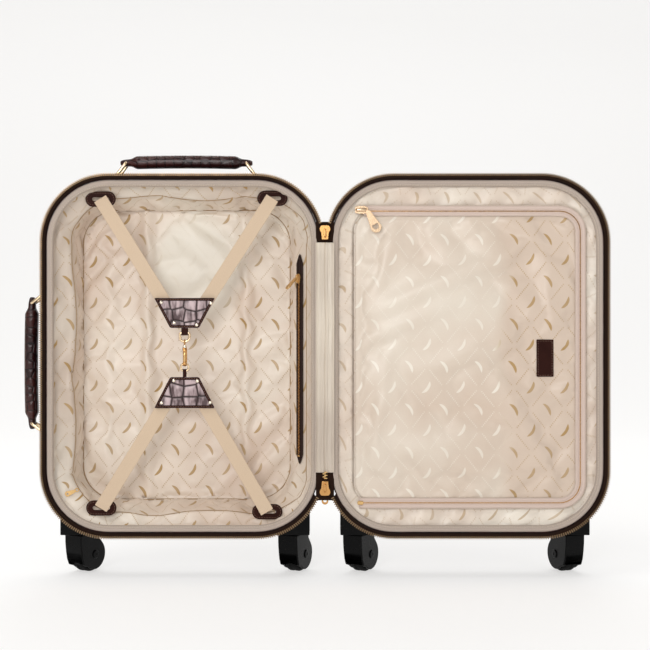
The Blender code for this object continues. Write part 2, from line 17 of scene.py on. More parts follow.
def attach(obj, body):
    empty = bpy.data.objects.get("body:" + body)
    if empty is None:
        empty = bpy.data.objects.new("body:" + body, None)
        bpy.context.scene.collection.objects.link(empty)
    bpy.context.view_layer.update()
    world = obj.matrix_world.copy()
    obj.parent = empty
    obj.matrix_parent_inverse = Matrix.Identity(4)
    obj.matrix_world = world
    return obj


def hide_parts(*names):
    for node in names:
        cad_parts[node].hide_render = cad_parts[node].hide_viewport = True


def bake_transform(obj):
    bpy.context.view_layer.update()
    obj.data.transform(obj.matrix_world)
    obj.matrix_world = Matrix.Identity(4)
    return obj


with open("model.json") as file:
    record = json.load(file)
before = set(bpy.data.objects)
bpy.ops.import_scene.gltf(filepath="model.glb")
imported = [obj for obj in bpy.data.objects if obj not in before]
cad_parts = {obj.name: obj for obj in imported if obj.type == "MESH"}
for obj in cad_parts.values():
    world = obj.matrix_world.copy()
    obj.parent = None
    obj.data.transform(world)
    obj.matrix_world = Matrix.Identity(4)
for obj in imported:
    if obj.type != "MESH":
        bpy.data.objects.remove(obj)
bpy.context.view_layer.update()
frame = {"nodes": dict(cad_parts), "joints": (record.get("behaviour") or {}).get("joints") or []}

# Shells, as in the CAD
HALF_GAP = 0.008
WIDTH = 0.366
HEIGHT = 0.474
BOTTOM = 0.0625
DEPTH = 0.102
CORNER = 0.084
BACK_EDGE = 0.024
TOP = BOTTOM + HEIGHT
CENTRE_U = HALF_GAP + WIDTH / 2
CASE, LID = -1, 1
FRONT = (0, -1, 0)
CLOSING_PLANE = -0.007
ZIP_ENDS = (15.5, 23.0)            # degrees left off the zip's way at its top and bottom ends
HINGE_AT = next(joint["pos_m"] for joint in frame["joints"] if joint["name"] == "lid_hinge")
ORIGIN = Vector((HINGE_AT[0], HINGE_AT[1] - CLOSING_PLANE, 0))

# Steps of a loop round a half: corner arcs, upright edges, level edges
ARC_STEPS = 16
UPRIGHT_STEPS = 60
LEVEL_STEPS = 42

# Lattice woven into the lining
LATTICE_W = 0.046
LATTICE_H = 0.057

# Colours, linear
GOLD = (0.72, 0.465, 0.20, 1)
SATIN_PINK = (0.68, 0.545, 0.445, 1)
SATIN_CREAM = (0.84, 0.765, 0.66, 1)
LATTICE_GOLD = (0.40, 0.245, 0.085, 1)
# painted sheen: cream satin and pale threads in the oval where the case's back shines
PAINTED_SHEEN_CREAM = (0.75, 0.69, 0.59, 1)
PAINTED_SHEEN_THREAD = (0.715, 0.65, 0.545, 1)
# painted shade of the case's walls near the rim
PAINTED_WALL_SHADE = (0.20, 0.145, 0.10, 1)
PANEL_PINK = (0.62, 0.495, 0.395, 1)
PANEL_CREAM = (0.735, 0.655, 0.555, 1)
OVAL_AT = (-0.189, 0.0, 0.425)     # middle of the cream oval of painted sheen on the case lining
OVAL_SHAPE = (15.0, 0.0, 12.0)


# ---------------------------------------------------------------- materials

class Shader:
    """A Principled material and the nodes that feed it."""

    def __init__(self, name, constants=None):
        self.material = bpy.data.materials.new(name)
        self.material.use_nodes = True
        tree = self.material.node_tree
        self.nodes, self.links = tree.nodes, tree.links
        self.bsdf = self.nodes["Principled BSDF"]
        for socket, value in (constants or {}).items():
            self.bsdf.inputs[socket].default_value = value
        self.here = self.node("TexCoord").outputs["Object"]

    def node(self, kind, inputs=None, **settings):
        made = self.nodes.new("ShaderNode" + kind)
        for key, value in settings.items():
            setattr(made, key, value)
        for key, value in (inputs or {}).items():
            if isinstance(value, bpy.types.NodeSocket):
                self.links.new(value, made.inputs[key])
            else:
                made.inputs[key].default_value = value
        return made

    def math(self, operation, a, b=0.0, c=0.0):
        return self.node("Math", {0: a, 1: b, 2: c}, operation=operation).outputs[0]

    def plus(self, a, b):
        return self.math("ADD", a, b)

    def minus(self, a, b):
        return self.math("SUBTRACT", a, b)

    def times(self, a, b):
        return self.math("MULTIPLY", a, b)

    def split(self, vector):
        return self.node("SeparateXYZ", {"Vector": vector}).outputs

    def noise(self, scale, detail=3.0, vector=None):
        inputs = {"Vector": vector or self.here, "Scale": scale, "Detail": detail}
        return self.node("TexNoise", inputs).outputs["Fac"]

    def stretched(self, scale, vector=None):
        inputs = {"Vector": vector or self.here, "Scale": scale}
        return self.node("Mapping", inputs).outputs["Vector"]

    def remap(self, value, low, high, out_low=0.0, out_high=1.0):
        inputs = {0: value, 1: low, 2: high, 3: out_low, 4: out_high}
        return self.node("MapRange", inputs, clamp=True).outputs["Result"]

    def mix(self, factor, a, b):
        return self.node("Mix", {0: factor, 6: a, 7: b}, data_type="RGBA").outputs[2]

    def bump(self, height, distance, strength=1.0, under=None):
        inputs = {"Height": height, "Distance": distance, "Strength": strength}
        if under:
            inputs["Normal"] = under
        return self.node("Bump", inputs).outputs["Normal"]

    def done(self, **outputs):
        """Link Base_Color, Roughness, Normal and the like, and give the material."""
        for key, value in outputs.items():
            socket = self.bsdf.inputs[key.replace("_", " ")]
            if isinstance(value, bpy.types.NodeSocket):
                self.links.new(value, socket)
            else:
                socket.default_value = value
        return self.material


def croc_leather(name, cells, stretch, gloss=1.0, painted_sheen=False, random=0.5):
    """Embossed scales with dark creases, pores and wear, and if asked a painted pale sheen on them.
    """
    s = Shader(name, {"Coat Weight": 0.4 * gloss, "Coat Roughness": 0.12,
                      "Specular IOR Level": 0.25})
    drift = s.noise(28, 2)
    place = s.stretched(stretch)
    edge = s.node(
        "TexVoronoi", {"Vector": place, "Scale": cells, "Randomness": random},
        feature="DISTANCE_TO_EDGE",
    ).outputs["Distance"]
    cell = s.node("TexVoronoi", {"Vector": place, "Scale": cells, "Randomness": random})
    crease = s.remap(edge, 0.0, 0.042 if painted_sheen else 0.10)
    crease = s.math("POWER", crease, 0.6)
    dome = s.remap(edge, 0.0, 0.45)
    pores = s.noise(900, 4)
    wrinkle = s.noise(140, 5)
    tint = s.remap(cell.outputs["Color"], 0.0, 1.0)
    streaks = s.remap(s.noise(120, 4, s.stretched((1, 1, 0.3))), 0.40, 0.60)
    scale_colour = s.mix(tint, (0.038, 0.008, 0.008, 1), (0.016, 0.0035, 0.0035, 1))
    wear_and_painted_sheen = s.mix(s.remap(drift, 0.45, 0.75), scale_colour, (0.056, 0.014, 0.011, 1))
    # painted highlight: a pale sheen painted in streaks on the middles of the scales
    if painted_sheen:
        sheen = s.mix(streaks, (0.072, 0.036, 0.038, 1), (0.53, 0.405, 0.41, 1))
        wear_and_painted_sheen = s.mix(s.remap(edge, 0.02, 0.14), wear_and_painted_sheen, sheen)
    colour = s.mix(crease, (0.002, 0.001, 0.001, 1), wear_and_painted_sheen)
    rough = s.remap(s.plus(wrinkle, s.times(crease, -0.35)), -0.1, 0.7, 0.22, 0.5)
    height = s.plus(s.times(crease, 0.7), s.times(dome, 0.9))
    height = s.plus(height, s.times(wrinkle, 0.30))
    normal = s.bump(height, 0.0011)
    normal = s.bump(pores, 0.00006, 0.6, normal)
    return s.done(Base_Color=colour, Roughness=rough, Normal=normal)


def plain_leather():
    """Smooth dark leather of the strap patches, the clasp's edges and tabs, and the label."""
    s = Shader("dark_calf", {"Specular IOR Level": 0.05})
    grain = s.node(
        "TexVoronoi", {"Vector": s.here, "Scale": 1400.0}, feature="DISTANCE_TO_EDGE"
    ).outputs["Distance"]
    colour = s.mix(s.noise(60, 4), (0.018, 0.005, 0.0035, 1), (0.036, 0.011, 0.008, 1))
    normal = s.bump(grain, 0.00012, 0.7)
    return s.done(Base_Color=colour, Roughness=s.remap(s.noise(400), 0.3, 0.7, 0.34, 0.55),
                  Normal=normal)


def gilt(name, colour, low, high):
    """Polished plated metal with faint hairlines and handling marks."""
    s = Shader(name, {"Metallic": 1.0})
    hairline = s.noise(260, 4, s.stretched((1, 1, 14)))
    marks = s.noise(90, 5)
    shade = s.mix(s.remap(marks, 0.35, 0.75), colour, tuple(c * 0.86 for c in colour[:3]) + (1,))
    rough = s.remap(s.plus(hairline, marks), 0.6, 1.4, low, high)
    return s.done(Base_Color=shade, Roughness=rough, Normal=s.bump(hairline, 0.00003, 0.5))


def lattice(s):
    """0 to 1: woven crescents in a diamond lattice of dotted lines, over the flat cloth."""
    flat = s.node("Attribute", attribute_name="weave").outputs["Vector"]
    split = s.split(flat)
    across = s.math("DIVIDE", split["X"], LATTICE_W)
    up = s.math("DIVIDE", split["Y"], LATTICE_H)
    ways = (s.plus(across, up), s.minus(across, up))
    parts = [s.minus(s.math("FRACT", way), 0.5) for way in ways]
    cells = s.plus(s.math("FLOOR", ways[0]), s.math("FLOOR", ways[1]))
    flip = s.math("MULTIPLY_ADD", s.math("FLOORED_MODULO", cells, 2.0), -2.0, 1.0)
    x = s.times(s.plus(*parts), LATTICE_W / 2)
    z = s.times(s.minus(*parts), LATTICE_H / 2)
    z = s.times(z, flip)
    radius, lean, reach, thick = 0.0165, math.radians(33), math.radians(35), 0.0019
    x = s.plus(x, (radius - 0.0015) * math.cos(lean))
    z = s.plus(z, (radius - 0.0015) * math.sin(lean))
    span = s.math("SQRT", s.plus(s.times(x, x), s.times(z, z)))
    turn = s.math("DIVIDE", s.minus(s.math("ARCTAN2", z, x), lean), reach)
    turn = s.math("POWER", s.math("ABSOLUTE", turn), 3.0)
    room = s.math("MULTIPLY_ADD", turn, -thick, thick)
    inside = s.minus(room, s.math("ABSOLUTE", s.minus(span, radius)))
    crescent = s.remap(inside, -0.0002, 0.0002)
    line_width = 0.032
    dotted = []
    for here, there, way in ((0, 1, ways[1]), (1, 0, ways[0])):
        from_line = s.minus(0.5, s.math("ABSOLUTE", parts[here]))
        on_line = s.remap(from_line, line_width, line_width * 0.5)
        clear = s.remap(s.math("ABSOLUTE", parts[there]), 0.40, 0.36)
        dots = s.remap(s.math("FRACT", s.times(way, 13.0)), 0.55, 0.48)
        dotted.append(s.times(s.times(on_line, clear), dots))
    lines = s.times(s.math("MAXIMUM", *dotted), 0.70)
    return s.math("MAXIMUM", crescent, lines)


def satin(name, pink=SATIN_PINK, cream=SATIN_CREAM, pattern=None):
    """Pale satin that turns from pinkish to cream, with a pattern woven in or none.

    pattern takes the Shader and the colour, and gives (share of thread, colour, thread colour).
    """
    s = Shader(name, {"Sheen Weight": 0.15, "Sheen Roughness": 0.4, "Specular IOR Level": 0.6})
    cast = s.remap(s.noise(7, 3), 0.32, 0.68)
    colour = s.mix(cast, pink, cream)
    threads = s.noise(2600, 2, s.stretched((1, 1, 0.25)))
    colour = s.mix(s.remap(threads, 0.3, 0.7, 0.0, 0.16), colour, (0.52, 0.41, 0.30, 1))
    normal = s.bump(threads, 0.00008, 0.5)
    rough = s.remap(threads, 0.3, 0.7, 0.32, 0.46)
    if pattern:
        woven = lattice(s)
        strong, colour, gilt_thread = pattern(s, colour)
        colour = s.mix(s.times(woven, strong), colour, gilt_thread)
        normal = s.bump(woven, 0.00015, 0.6, normal)
    return s.done(Base_Color=colour, Roughness=rough, Normal=normal)


def lining_pattern(s, colour):
    """Painted sheen as a cream oval high on the case's back, painted shade on its walls near the
    rim, and a fainter lid.
    """
    strong = s.remap(s.noise(9, 2), 0.40, 0.60, 0.72, 1.0)
    place = s.split(s.here)
    # painted sheen: in an oval high on the case's back the satin turns cream and its threads pale
    off = s.node("VectorMath", {0: s.here, 1: OVAL_AT}, operation="SUBTRACT").outputs[0]
    off = s.node("VectorMath", {0: off, 1: OVAL_SHAPE}, operation="MULTIPLY").outputs[0]
    far = s.node("VectorMath", {0: off}, operation="LENGTH").outputs["Value"]
    golden = s.remap(s.plus(far, s.noise(12, 2)), 1.1, 1.6)
    colour = s.mix(golden, PAINTED_SHEEN_CREAM, colour)
    gilt_thread = s.mix(golden, PAINTED_SHEEN_THREAD, LATTICE_GOLD)
    in_case = s.remap(place["X"], -0.005, 0.005, 1.0, 0.0)
    # painted shade: the case's walls darken towards the rim, but the bottom wall does not
    wall = s.times(s.remap(place["Y"], 0.018, 0.042, 0.27, 0.0), in_case)
    wall = s.times(s.remap(place["Z"], 0.10, 0.16), wall)
    colour = s.mix(wall, colour, PAINTED_WALL_SHADE)
    strong = s.times(strong, s.math("MULTIPLY_ADD", in_case, 0.4, 0.6))
    return strong, colour, gilt_thread


def panel_pattern(s, colour):
    """Pale threads that turn to gold towards the divider's far side."""
    strong = s.remap(s.noise(9, 2), 0.40, 0.60, 0.72, 1.0)
    place = s.split(s.here)
    wander = s.math("MULTIPLY_ADD", s.noise(8, 2), 0.05, -0.025)
    golden = s.remap(s.plus(place["X"], wander), 0.228, 0.250)
    return (strong, s.mix(golden, colour, PANEL_PINK),
            s.mix(golden, (0.785, 0.715, 0.615, 1), LATTICE_GOLD))


RIB_SCALE = 0.314                  # wave texture's scale for ribs a metre apart


def ribbed(name, light, dark, direction, pitch, roughness=0.75):
    """Woven tape or binding with fine ribs across a direction."""
    s = Shader(name, {"Sheen Weight": 0.03, "Specular IOR Level": 0.1})
    ribs = s.node(
        "TexWave", {"Vector": s.here, "Scale": RIB_SCALE / pitch, "Distortion": 0.6,
                    "Detail": 2.0, "Detail Scale": 30.0},
        bands_direction=direction,
    ).outputs["Fac"]
    fibres = s.noise(1800, 3)
    colour = s.mix(s.times(ribs, s.remap(fibres, 0.2, 0.8, 0.5, 1.0)), dark, light)
    height = s.plus(ribs, s.times(fibres, 0.5))
    return s.done(Base_Color=colour, Roughness=roughness, Normal=s.bump(height, 0.00014, 0.7))


def moulded_plastic(name, colour, grain, rough):
    """Moulded plastic with a spark-eroded grain and slight scuffs."""
    s = Shader(name, {"Specular IOR Level": 0.10})
    fine = s.noise(grain, 3)
    scuffs = s.noise(45, 6)
    lighter = tuple(min(c * 1.9 + 0.004, 1) for c in colour[:3]) + (1,)
    shade = s.mix(s.remap(scuffs, 0.52, 0.8), colour, lighter)
    roughness = s.remap(scuffs, 0.3, 0.75, rough[0], rough[1])
    return s.done(Base_Color=shade, Roughness=roughness, Normal=s.bump(fine, 0.00006, 0.5))


def brushed_tube(s):
    """Streaks along Z, and the metal's colour with them."""
    brushed = s.noise(900, 3, s.stretched((1, 1, 0.02)))
    return brushed, s.mix(brushed, (0.50, 0.48, 0.45, 1), (0.70, 0.68, 0.65, 1))


def drawn_aluminium():
    """Satin anodised tube, brushed along its length."""
    s = Shader("satin_aluminium", {"Metallic": 1.0})
    brushed, shade = brushed_tube(s)
    return s.done(Base_Color=shade, Roughness=s.remap(brushed, 0.2, 0.8, 0.22, 0.4),
                  Normal=s.bump(brushed, 0.00003, 0.6))


def plastic_over_tubes(name, plastic_above):
    """Black plastic above a level, and aluminium tube below it."""
    s = Shader(name)
    level = s.split(s.here)["Z"]
    is_plastic = s.remap(level, plastic_above - 0.0002, plastic_above + 0.0002)
    brushed, metal = brushed_tube(s)
    return s.done(Base_Color=s.mix(is_plastic, metal, (0.010, 0.010, 0.011, 1)),
                  Metallic=s.minus(1.0, is_plastic),
                  Roughness=s.remap(brushed, 0.2, 0.8, 0.25, 0.42),
                  Normal=s.bump(s.noise(1500, 3), 0.00004, 0.5))


def thread(name, colour):
    s = Shader(name, {"Sheen Weight": 0.4})
    twist = s.noise(3000, 2)
    shade = s.mix(twist, tuple(c * 0.6 for c in colour[:3]) + (1,), colour)
    return s.done(Base_Color=shade, Roughness=0.7, Normal=s.bump(twist, 0.00008))


CROC_BIG = croc_leather("croc_leather_shell", 62.0, (1.0, 1.0, 0.72), 0.8)
CROC_SMALL = croc_leather("croc_leather_small", 88.0, (0.9, 1.0, 1.0), 0.65)
# the clasp plates' leather, with the painted pale sheen on its scales
CROC_PLATE = croc_leather("croc_leather_plate", 52.0, (1.15, 1.0, 1.15), 1.6, True, 0.30)
CALF = plain_leather()
BRASS = gilt("pale_gold", GOLD, 0.20, 0.38)
ROSE_BRASS = gilt("orange_gold", (0.62, 0.33, 0.12, 1), 0.18, 0.36)
PALE_ROSE = gilt("rose_gold", (0.76, 0.55, 0.36, 1), 0.20, 0.36)
DARK_BRASS = gilt("antique_teeth", (0.25, 0.165, 0.095, 1), 0.32, 0.52)
RING_GOLD = gilt("ring_gold", (0.86, 0.66, 0.43, 1), 0.14, 0.30)
PALE_METAL = gilt("rivet_gold", (0.90, 0.80, 0.66, 1), 0.10, 0.25)
SATIN = satin("satin_lining", pattern=lining_pattern)
SATIN_PANEL = satin("satin_panel", PANEL_PINK, PANEL_CREAM, panel_pattern)
TAPE_PINK = ribbed("rose_tape", (0.75, 0.61, 0.535, 1), (0.57, 0.45, 0.385, 1), "Z", 0.0007)
GUSSET = satin("gusset_cloth", (0.50, 0.425, 0.35, 1), (0.72, 0.64, 0.53, 1))
TRIM = ribbed("grey_binding", (0.56, 0.475, 0.41, 1), (0.38, 0.31, 0.26, 1), "DIAGONAL", 0.0009)
WEBBING = ribbed("beige_webbing", (0.70, 0.545, 0.395, 1), (0.59, 0.45, 0.32, 1), "DIAGONAL",
                 0.0006)
TAPE = ribbed("olive_tape", (0.030, 0.014, 0.0075, 1), (0.013, 0.005, 0.003, 1), "Z", 0.0008, 0.9)
POCKET_TAPE = ribbed("brown_tape", (0.045, 0.024, 0.018, 1), (0.018, 0.009, 0.007, 1), "Z", 0.0009,
                     0.9)
BLACK = moulded_plastic("black_plastic", (0.0016, 0.0016, 0.0017, 1), 1500, (0.24, 0.38))
TYRE = moulded_plastic("tyre_rubber", (0.004, 0.004, 0.004, 1), 700, (0.6, 0.8))
ALUMINIUM = drawn_aluminium()
PALE_THREAD = thread("pale_thread", (0.80, 0.68, 0.52, 1))
BROWN_THREAD = thread("brown_thread", (0.20, 0.10, 0.06, 1))
SEAM = thread("seam_thread", (0.40, 0.255, 0.13, 1))


# ---------------------------------------------------------------- mesh helpers

def mm(*rows):
    """Rows of lengths given in millimetres."""
    return [tuple(length / 1000 for length in row) for row in rows]


def new_mesh(name, shape):
    """A new mesh from (vertices, faces)."""
    verts, faces = shape
    mesh = bpy.data.meshes.new(name)
    mesh.from_pydata([tuple(v) for v in verts], [], [tuple(int(i) for i in f) for f in faces])
    return mesh


def placed(name, data, at=(0, 0, 0)):
    """A new object of the scene."""
    obj = bpy.data.objects.new(name, data)
    bpy.context.scene.collection.objects.link(obj)
    obj.location = at
    return obj


def face_outwards(mesh):
    bm = bmesh.new()
    bm.from_mesh(mesh)
    bmesh.ops.recalc_face_normals(bm, faces=bm.faces)
    bm.to_mesh(mesh)
    bm.free()


def bevel_edges(obj, width, segments, angle):
    bevel = obj.modifiers.new("edges", "BEVEL")
    bevel.width, bevel.segments = width, segments
    bevel.limit_method = "ANGLE"
    bevel.angle_limit = math.radians(angle)


def piece(name, shape, material, body, replaces=(), **finish):
    """Make an object from (vertices, faces) and let it ride on a CAD body.

    finish: thickness and its offset (Solidify), bevel and its segments, subdivide, weave (flat
    places of the cloth), slack (what relax takes), and round or the smooth angle of its edges.
    """
    mesh = new_mesh(name, shape)
    face_outwards(mesh)
    mesh.materials.append(material)
    mesh.shade_smooth()
    obj = placed(name, mesh, ORIGIN)
    if "weave" in finish:
        flat = mesh.attributes.new("weave", "FLOAT_VECTOR", "POINT")
        flat.data.foreach_set("vector", np.asarray(finish["weave"], np.float32).ravel())
    if finish.get("slack"):
        relax(obj, *finish["slack"])
    if finish.get("thickness"):
        solid = obj.modifiers.new("cloth_thickness", "SOLIDIFY")
        solid.thickness = finish["thickness"]
        solid.offset = finish.get("offset", -1)
    if finish.get("bevel"):
        bevel_edges(obj, finish["bevel"], finish.get("segments", 3), 28)
    if finish.get("subdivide"):
        smooth = obj.modifiers.new("smooth", "SUBSURF")
        smooth.levels = smooth.render_levels = finish["subdivide"]
    if not finish.get("round"):
        mesh.set_sharp_from_angle(angle=math.radians(finish.get("smooth", 40)))
    if body:
        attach(obj, body)
    if replaces:
        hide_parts(*([replaces] if isinstance(replaces, str) else replaces))
    return obj


def grid(points, wrap_rows=False, wrap_cols=False, caps=False):
    """Faces over a grid of points, given as an array of rows, columns and xyz."""
    points = np.asarray(points, float)
    rows, cols = points.shape[:2]
    faces = []
    for i in range(rows if wrap_rows else rows - 1):
        for j in range(cols if wrap_cols else cols - 1):
            a, b = i * cols + j, i * cols + (j + 1) % cols
            up = (i + 1) % rows * cols
            faces.append((a, b, up + (j + 1) % cols, up + j))
    if caps:
        faces.append(tuple(range(cols))[::-1])
        faces.append(tuple(range((rows - 1) * cols, rows * cols)))
    return points.reshape(-1, 3), faces


def filled_grid(rings, spacing):
    """Faces over rings, with the last one filled by an even net of triangles."""
    rings = np.asarray(rings, float)
    verts, faces = grid(rings, wrap_cols=True)
    count = rings.shape[1]
    first = len(verts) - count
    edge = [Vector((x, z)) for x, z in verts[first:][:, [0, 2]]]
    low, high = verts[first:].min(0), verts[first:].max(0)
    inside = []
    for row, z in enumerate(np.arange(low[2] + spacing / 2, high[2], spacing * 0.87)):
        for x in np.arange(low[0] + spacing / 2 + (row % 2) * spacing / 2, high[0], spacing):
            gap = min((Vector((x, z)) - p).length for p in edge[::2])
            if gap > spacing * 0.7:
                inside.append(Vector((x + 0.1 * spacing * math.sin(z * 900), z)))
    edges = [(k, (k + 1) % count) for k in range(count)]
    points, _, net, origin, _, _ = delaunay_2d_cdt(edge + inside, edges, [], 1, 1e-6)
    where = []
    for k, p in enumerate(points):
        if origin[k] and origin[k][0] < count:
            where.append(first + origin[k][0])
        else:
            where.append(len(verts))
            verts = np.concatenate([verts, [[p.x, verts[first, 1], p.y]]])
    return verts, faces + [tuple(where[i] for i in face) for face in net]


def join(shapes):
    """Several (vertices, faces) as one."""
    verts, faces, count = [], [], 0
    for v, f in shapes:
        verts.append(np.asarray(v, float).reshape(-1, 3))
        faces += [tuple(i + count for i in face) for face in f]
        count += len(verts[-1])
    return np.concatenate(verts), faces


def moved(shape, matrix):
    verts, faces = shape
    flat = np.asarray(verts, float) @ np.array(matrix.to_3x3()).T + np.array(matrix.translation)
    return flat, faces


def tube(path, radius, normal=(0, 1, 0), sides=12, closed=False, flat=1.0):
    """A bar along a flat path. Flat is the share of the radius kept along the plane's normal."""
    path = np.asarray(path, float)
    normal = np.asarray(normal, float) / np.linalg.norm(normal)
    ahead = np.roll(path, -1, 0) - np.roll(path, 1, 0)
    if not closed:
        ahead[0], ahead[-1] = path[1] - path[0], path[-1] - path[-2]
    ahead /= np.linalg.norm(ahead, axis=1)[:, None]
    across = np.cross(ahead, normal)
    across /= np.linalg.norm(across, axis=1)[:, None]
    turn = 2 * np.pi * (np.arange(sides) + 0.5) / sides
    radius = np.broadcast_to(radius, len(path))[:, None, None]
    rings = path[:, None] + radius * (
        np.cos(turn)[None, :, None] * across[:, None]
        + flat * np.sin(turn)[None, :, None] * normal
    )
    return grid(rings, wrap_rows=closed, wrap_cols=True, caps=not closed)


def lathe(profile, steps=24, closed=False):
    """Turned about Z from (radius, height) points."""
    turn = 2 * np.pi * np.arange(steps) / steps
    rings = [
        np.stack([r * np.cos(turn), r * np.sin(turn), np.full(steps, z)], 1) for r, z in profile
    ]
    return grid(rings, wrap_rows=closed, wrap_cols=True, caps=not closed)


def arc(ca, cb, radius, start, end, steps):
    t = np.radians(np.linspace(start, end, steps + 1))
    return [(ca + radius * c, cb + radius * s) for c, s in zip(np.cos(t), np.sin(t))]


def rounded(a0, a1, b0, b1, radius, steps=6):
    return (
        arc(a1 - radius, b1 - radius, radius, 0, 90, steps)
        + arc(a0 + radius, b1 - radius, radius, 90, 180, steps)
        + arc(a0 + radius, b0 + radius, radius, 180, 270, steps)
        + arc(a1 - radius, b0 + radius, radius, 270, 360, steps)
    )


def pill(ca, cb, half_a, half_b, radius, steps=6):
    """A rounded rectangle about a centre."""
    return rounded(ca - half_a, ca + half_a, cb - half_b, cb + half_b, radius, steps)


def mirrored(half):
    """A closed outline from its half with a >= 0, from one end of the axis to the other."""
    return half + [(-a, b) for a, b in reversed(half[1:-1])]


def pull_tab(neck, neck_height, drop, radius, steps):
    """Outline of a puller's tab that hangs from 0 and ends in a half circle."""
    return [(-neck, neck_height)] + arc(0, -drop, radius, 180, 360, steps) + [(neck, neck_height)]


def standing(outline, y):
    """The (x, z) points of an outline at one y."""
    return np.array([(x, y, z) for x, z in outline])


def slab(outline, low, high, axis="Y"):
    """An outline pushed out along an axis: (x, z) for Y, (y, z) for X, (x, y) for Z."""
    put = {"X": (1, 2, 0), "Y": (0, 2, 1), "Z": (0, 1, 2)}[axis]
    rings = np.zeros((2, len(outline), 3))
    for ring, level in zip(rings, (low, high)):
        ring[:, put[0]] = [p[0] for p in outline]
        ring[:, put[1]] = [p[1] for p in outline]
        ring[:, put[2]] = level
    return grid(rings, wrap_cols=True, caps=True)


def spaced(path, pitch, closed=False):
    """Points at an even pitch along a path, with the direction of the path there."""
    path = np.asarray(path, float)
    if closed:
        path = np.concatenate([path, path[:1]])
    steps = np.linalg.norm(np.diff(path, axis=0), axis=1)
    run = np.concatenate([[0], np.cumsum(steps)])
    count = max(int(run[-1] / pitch), 1)
    at = (np.arange(count) + 0.5) * run[-1] / count
    points = np.stack([np.interp(at, run, path[:, k]) for k in range(3)], 1)
    index = np.clip(np.searchsorted(run, at) - 1, 0, len(steps) - 1)
    ahead = np.diff(path, axis=0)[index]
    return points, ahead / np.linalg.norm(ahead, axis=1)[:, None]


def copies(unit, points, ahead, normal):
    """A unit shape at each point, with its X ahead and its Z along the normal."""
    verts, faces = unit
    normal = np.broadcast_to(np.asarray(normal, float), points.shape)
    side = np.cross(normal, ahead)
    side /= np.linalg.norm(side, axis=1)[:, None]
    up = np.cross(ahead, side)
    shapes = []
    for p, x, y, z in zip(points, ahead, side, up):
        shapes.append((p + np.asarray(verts) @ np.array([x, y, z]), faces))
    return join(shapes)


def block(x, y, z, taper=1.0):
    """A unit box of half sizes x, y and z, its far end in Y drawn in by a taper."""
    outline = ((-x, -y), (x, -y), (x * taper, y), (-x * taper, y))
    return slab(outline, -z, z, "Z")


STITCH_LENGTH, STITCH_GAP = 0.0024, 0.0010


def stitching(name, path, normal, thread_material, body, closed=False, thick=0.00032):
    """A row of separate stitches laid along a path."""
    half = STITCH_LENGTH / 2
    profile = [(0.0001, -half), (thick, -half * 0.7), (thick, half * 0.7), (0.0001, half)]
    verts, faces = lathe(profile, 6)
    unit = (np.asarray(verts)[:, [2, 1, 0]], faces)
    points, ahead = spaced(path, STITCH_LENGTH + STITCH_GAP, closed)
    piece(name, copies(unit, points, ahead, normal), thread_material, body, smooth=60)


def four(inset):
    return (inset,) * 4 if np.isscalar(inset) else tuple(inset)


def round_box(box, r, arc_steps, edge_steps):
    """Points round a rectangle with round corners, dense along its edges too."""
    u0, u1, z0, z1 = box
    centres = ((u1 - r, z1 - r), (u0 + r, z1 - r), (u0 + r, z0 + r), (u1 - r, z0 + r))
    points = []
    for k, centre in enumerate(centres):
        points += arc(*centre, r, 90 * k, 90 * (k + 1), arc_steps)
        here = np.array(points.pop())
        there = np.array(arc(*centres[(k + 1) % 4], r, 90 * (k + 1), 90 * (k + 2), 1)[0])
        steps = edge_steps[k % 2]
        points += [tuple(here + (there - here) * i / steps) for i in range(steps)]
    return np.array(points)


def loop(side, inset, y, radius=None):
    """Points round a half, inset from the shell by one length or (hinge, far, top, bottom)."""
    hinge, far, top, bottom = four(inset)
    r = CORNER - (hinge + far + top + bottom) / 4 if radius is None else radius
    r = max(r, 0.0005)
    box = (HALF_GAP + hinge, HALF_GAP + WIDTH - far, BOTTOM + bottom, TOP - top)
    points = round_box(box, r, ARC_STEPS, (LEVEL_STEPS, UPRIGHT_STEPS))
    return standing(points * (side, 1), y)


def between(levels, spacing):
    """Levels with more rows put in between, no further apart than the spacing."""
    rows = []
    for a, b in zip(levels[:-1], levels[1:]):
        a, b = np.array(a), np.array(b)
        run = math.hypot(np.mean(b[:4] - a[:4]), b[4] - a[4])
        steps = max(int(math.ceil(run / spacing)), 1)
        rows += [a + (b - a) * i / steps for i in range(steps)]
    return rows + [np.array(levels[-1])]


def zip_way(side, inset, y):
    """The way of the main zip round a half, from its top end to its bottom end."""
    u0, u1 = HALF_GAP + CORNER, HALF_GAP + WIDTH - CORNER
    z0, z1 = BOTTOM + CORNER, TOP - CORNER
    r = CORNER - inset
    way = (
        arc(u0, z1, r, 180 - ZIP_ENDS[0], 90, 20) + arc(u1, z1, r, 90, 0, 24)
        + arc(u1, z0, r, 0, -90, 24) + arc(u0, z0, r, -90, -180 + ZIP_ENDS[1], 20)
    )
    return standing(np.array(way) * (side, 1), y)


# ---------------------------------------------------------------- cloth

CLOTH_FRAMES = 26


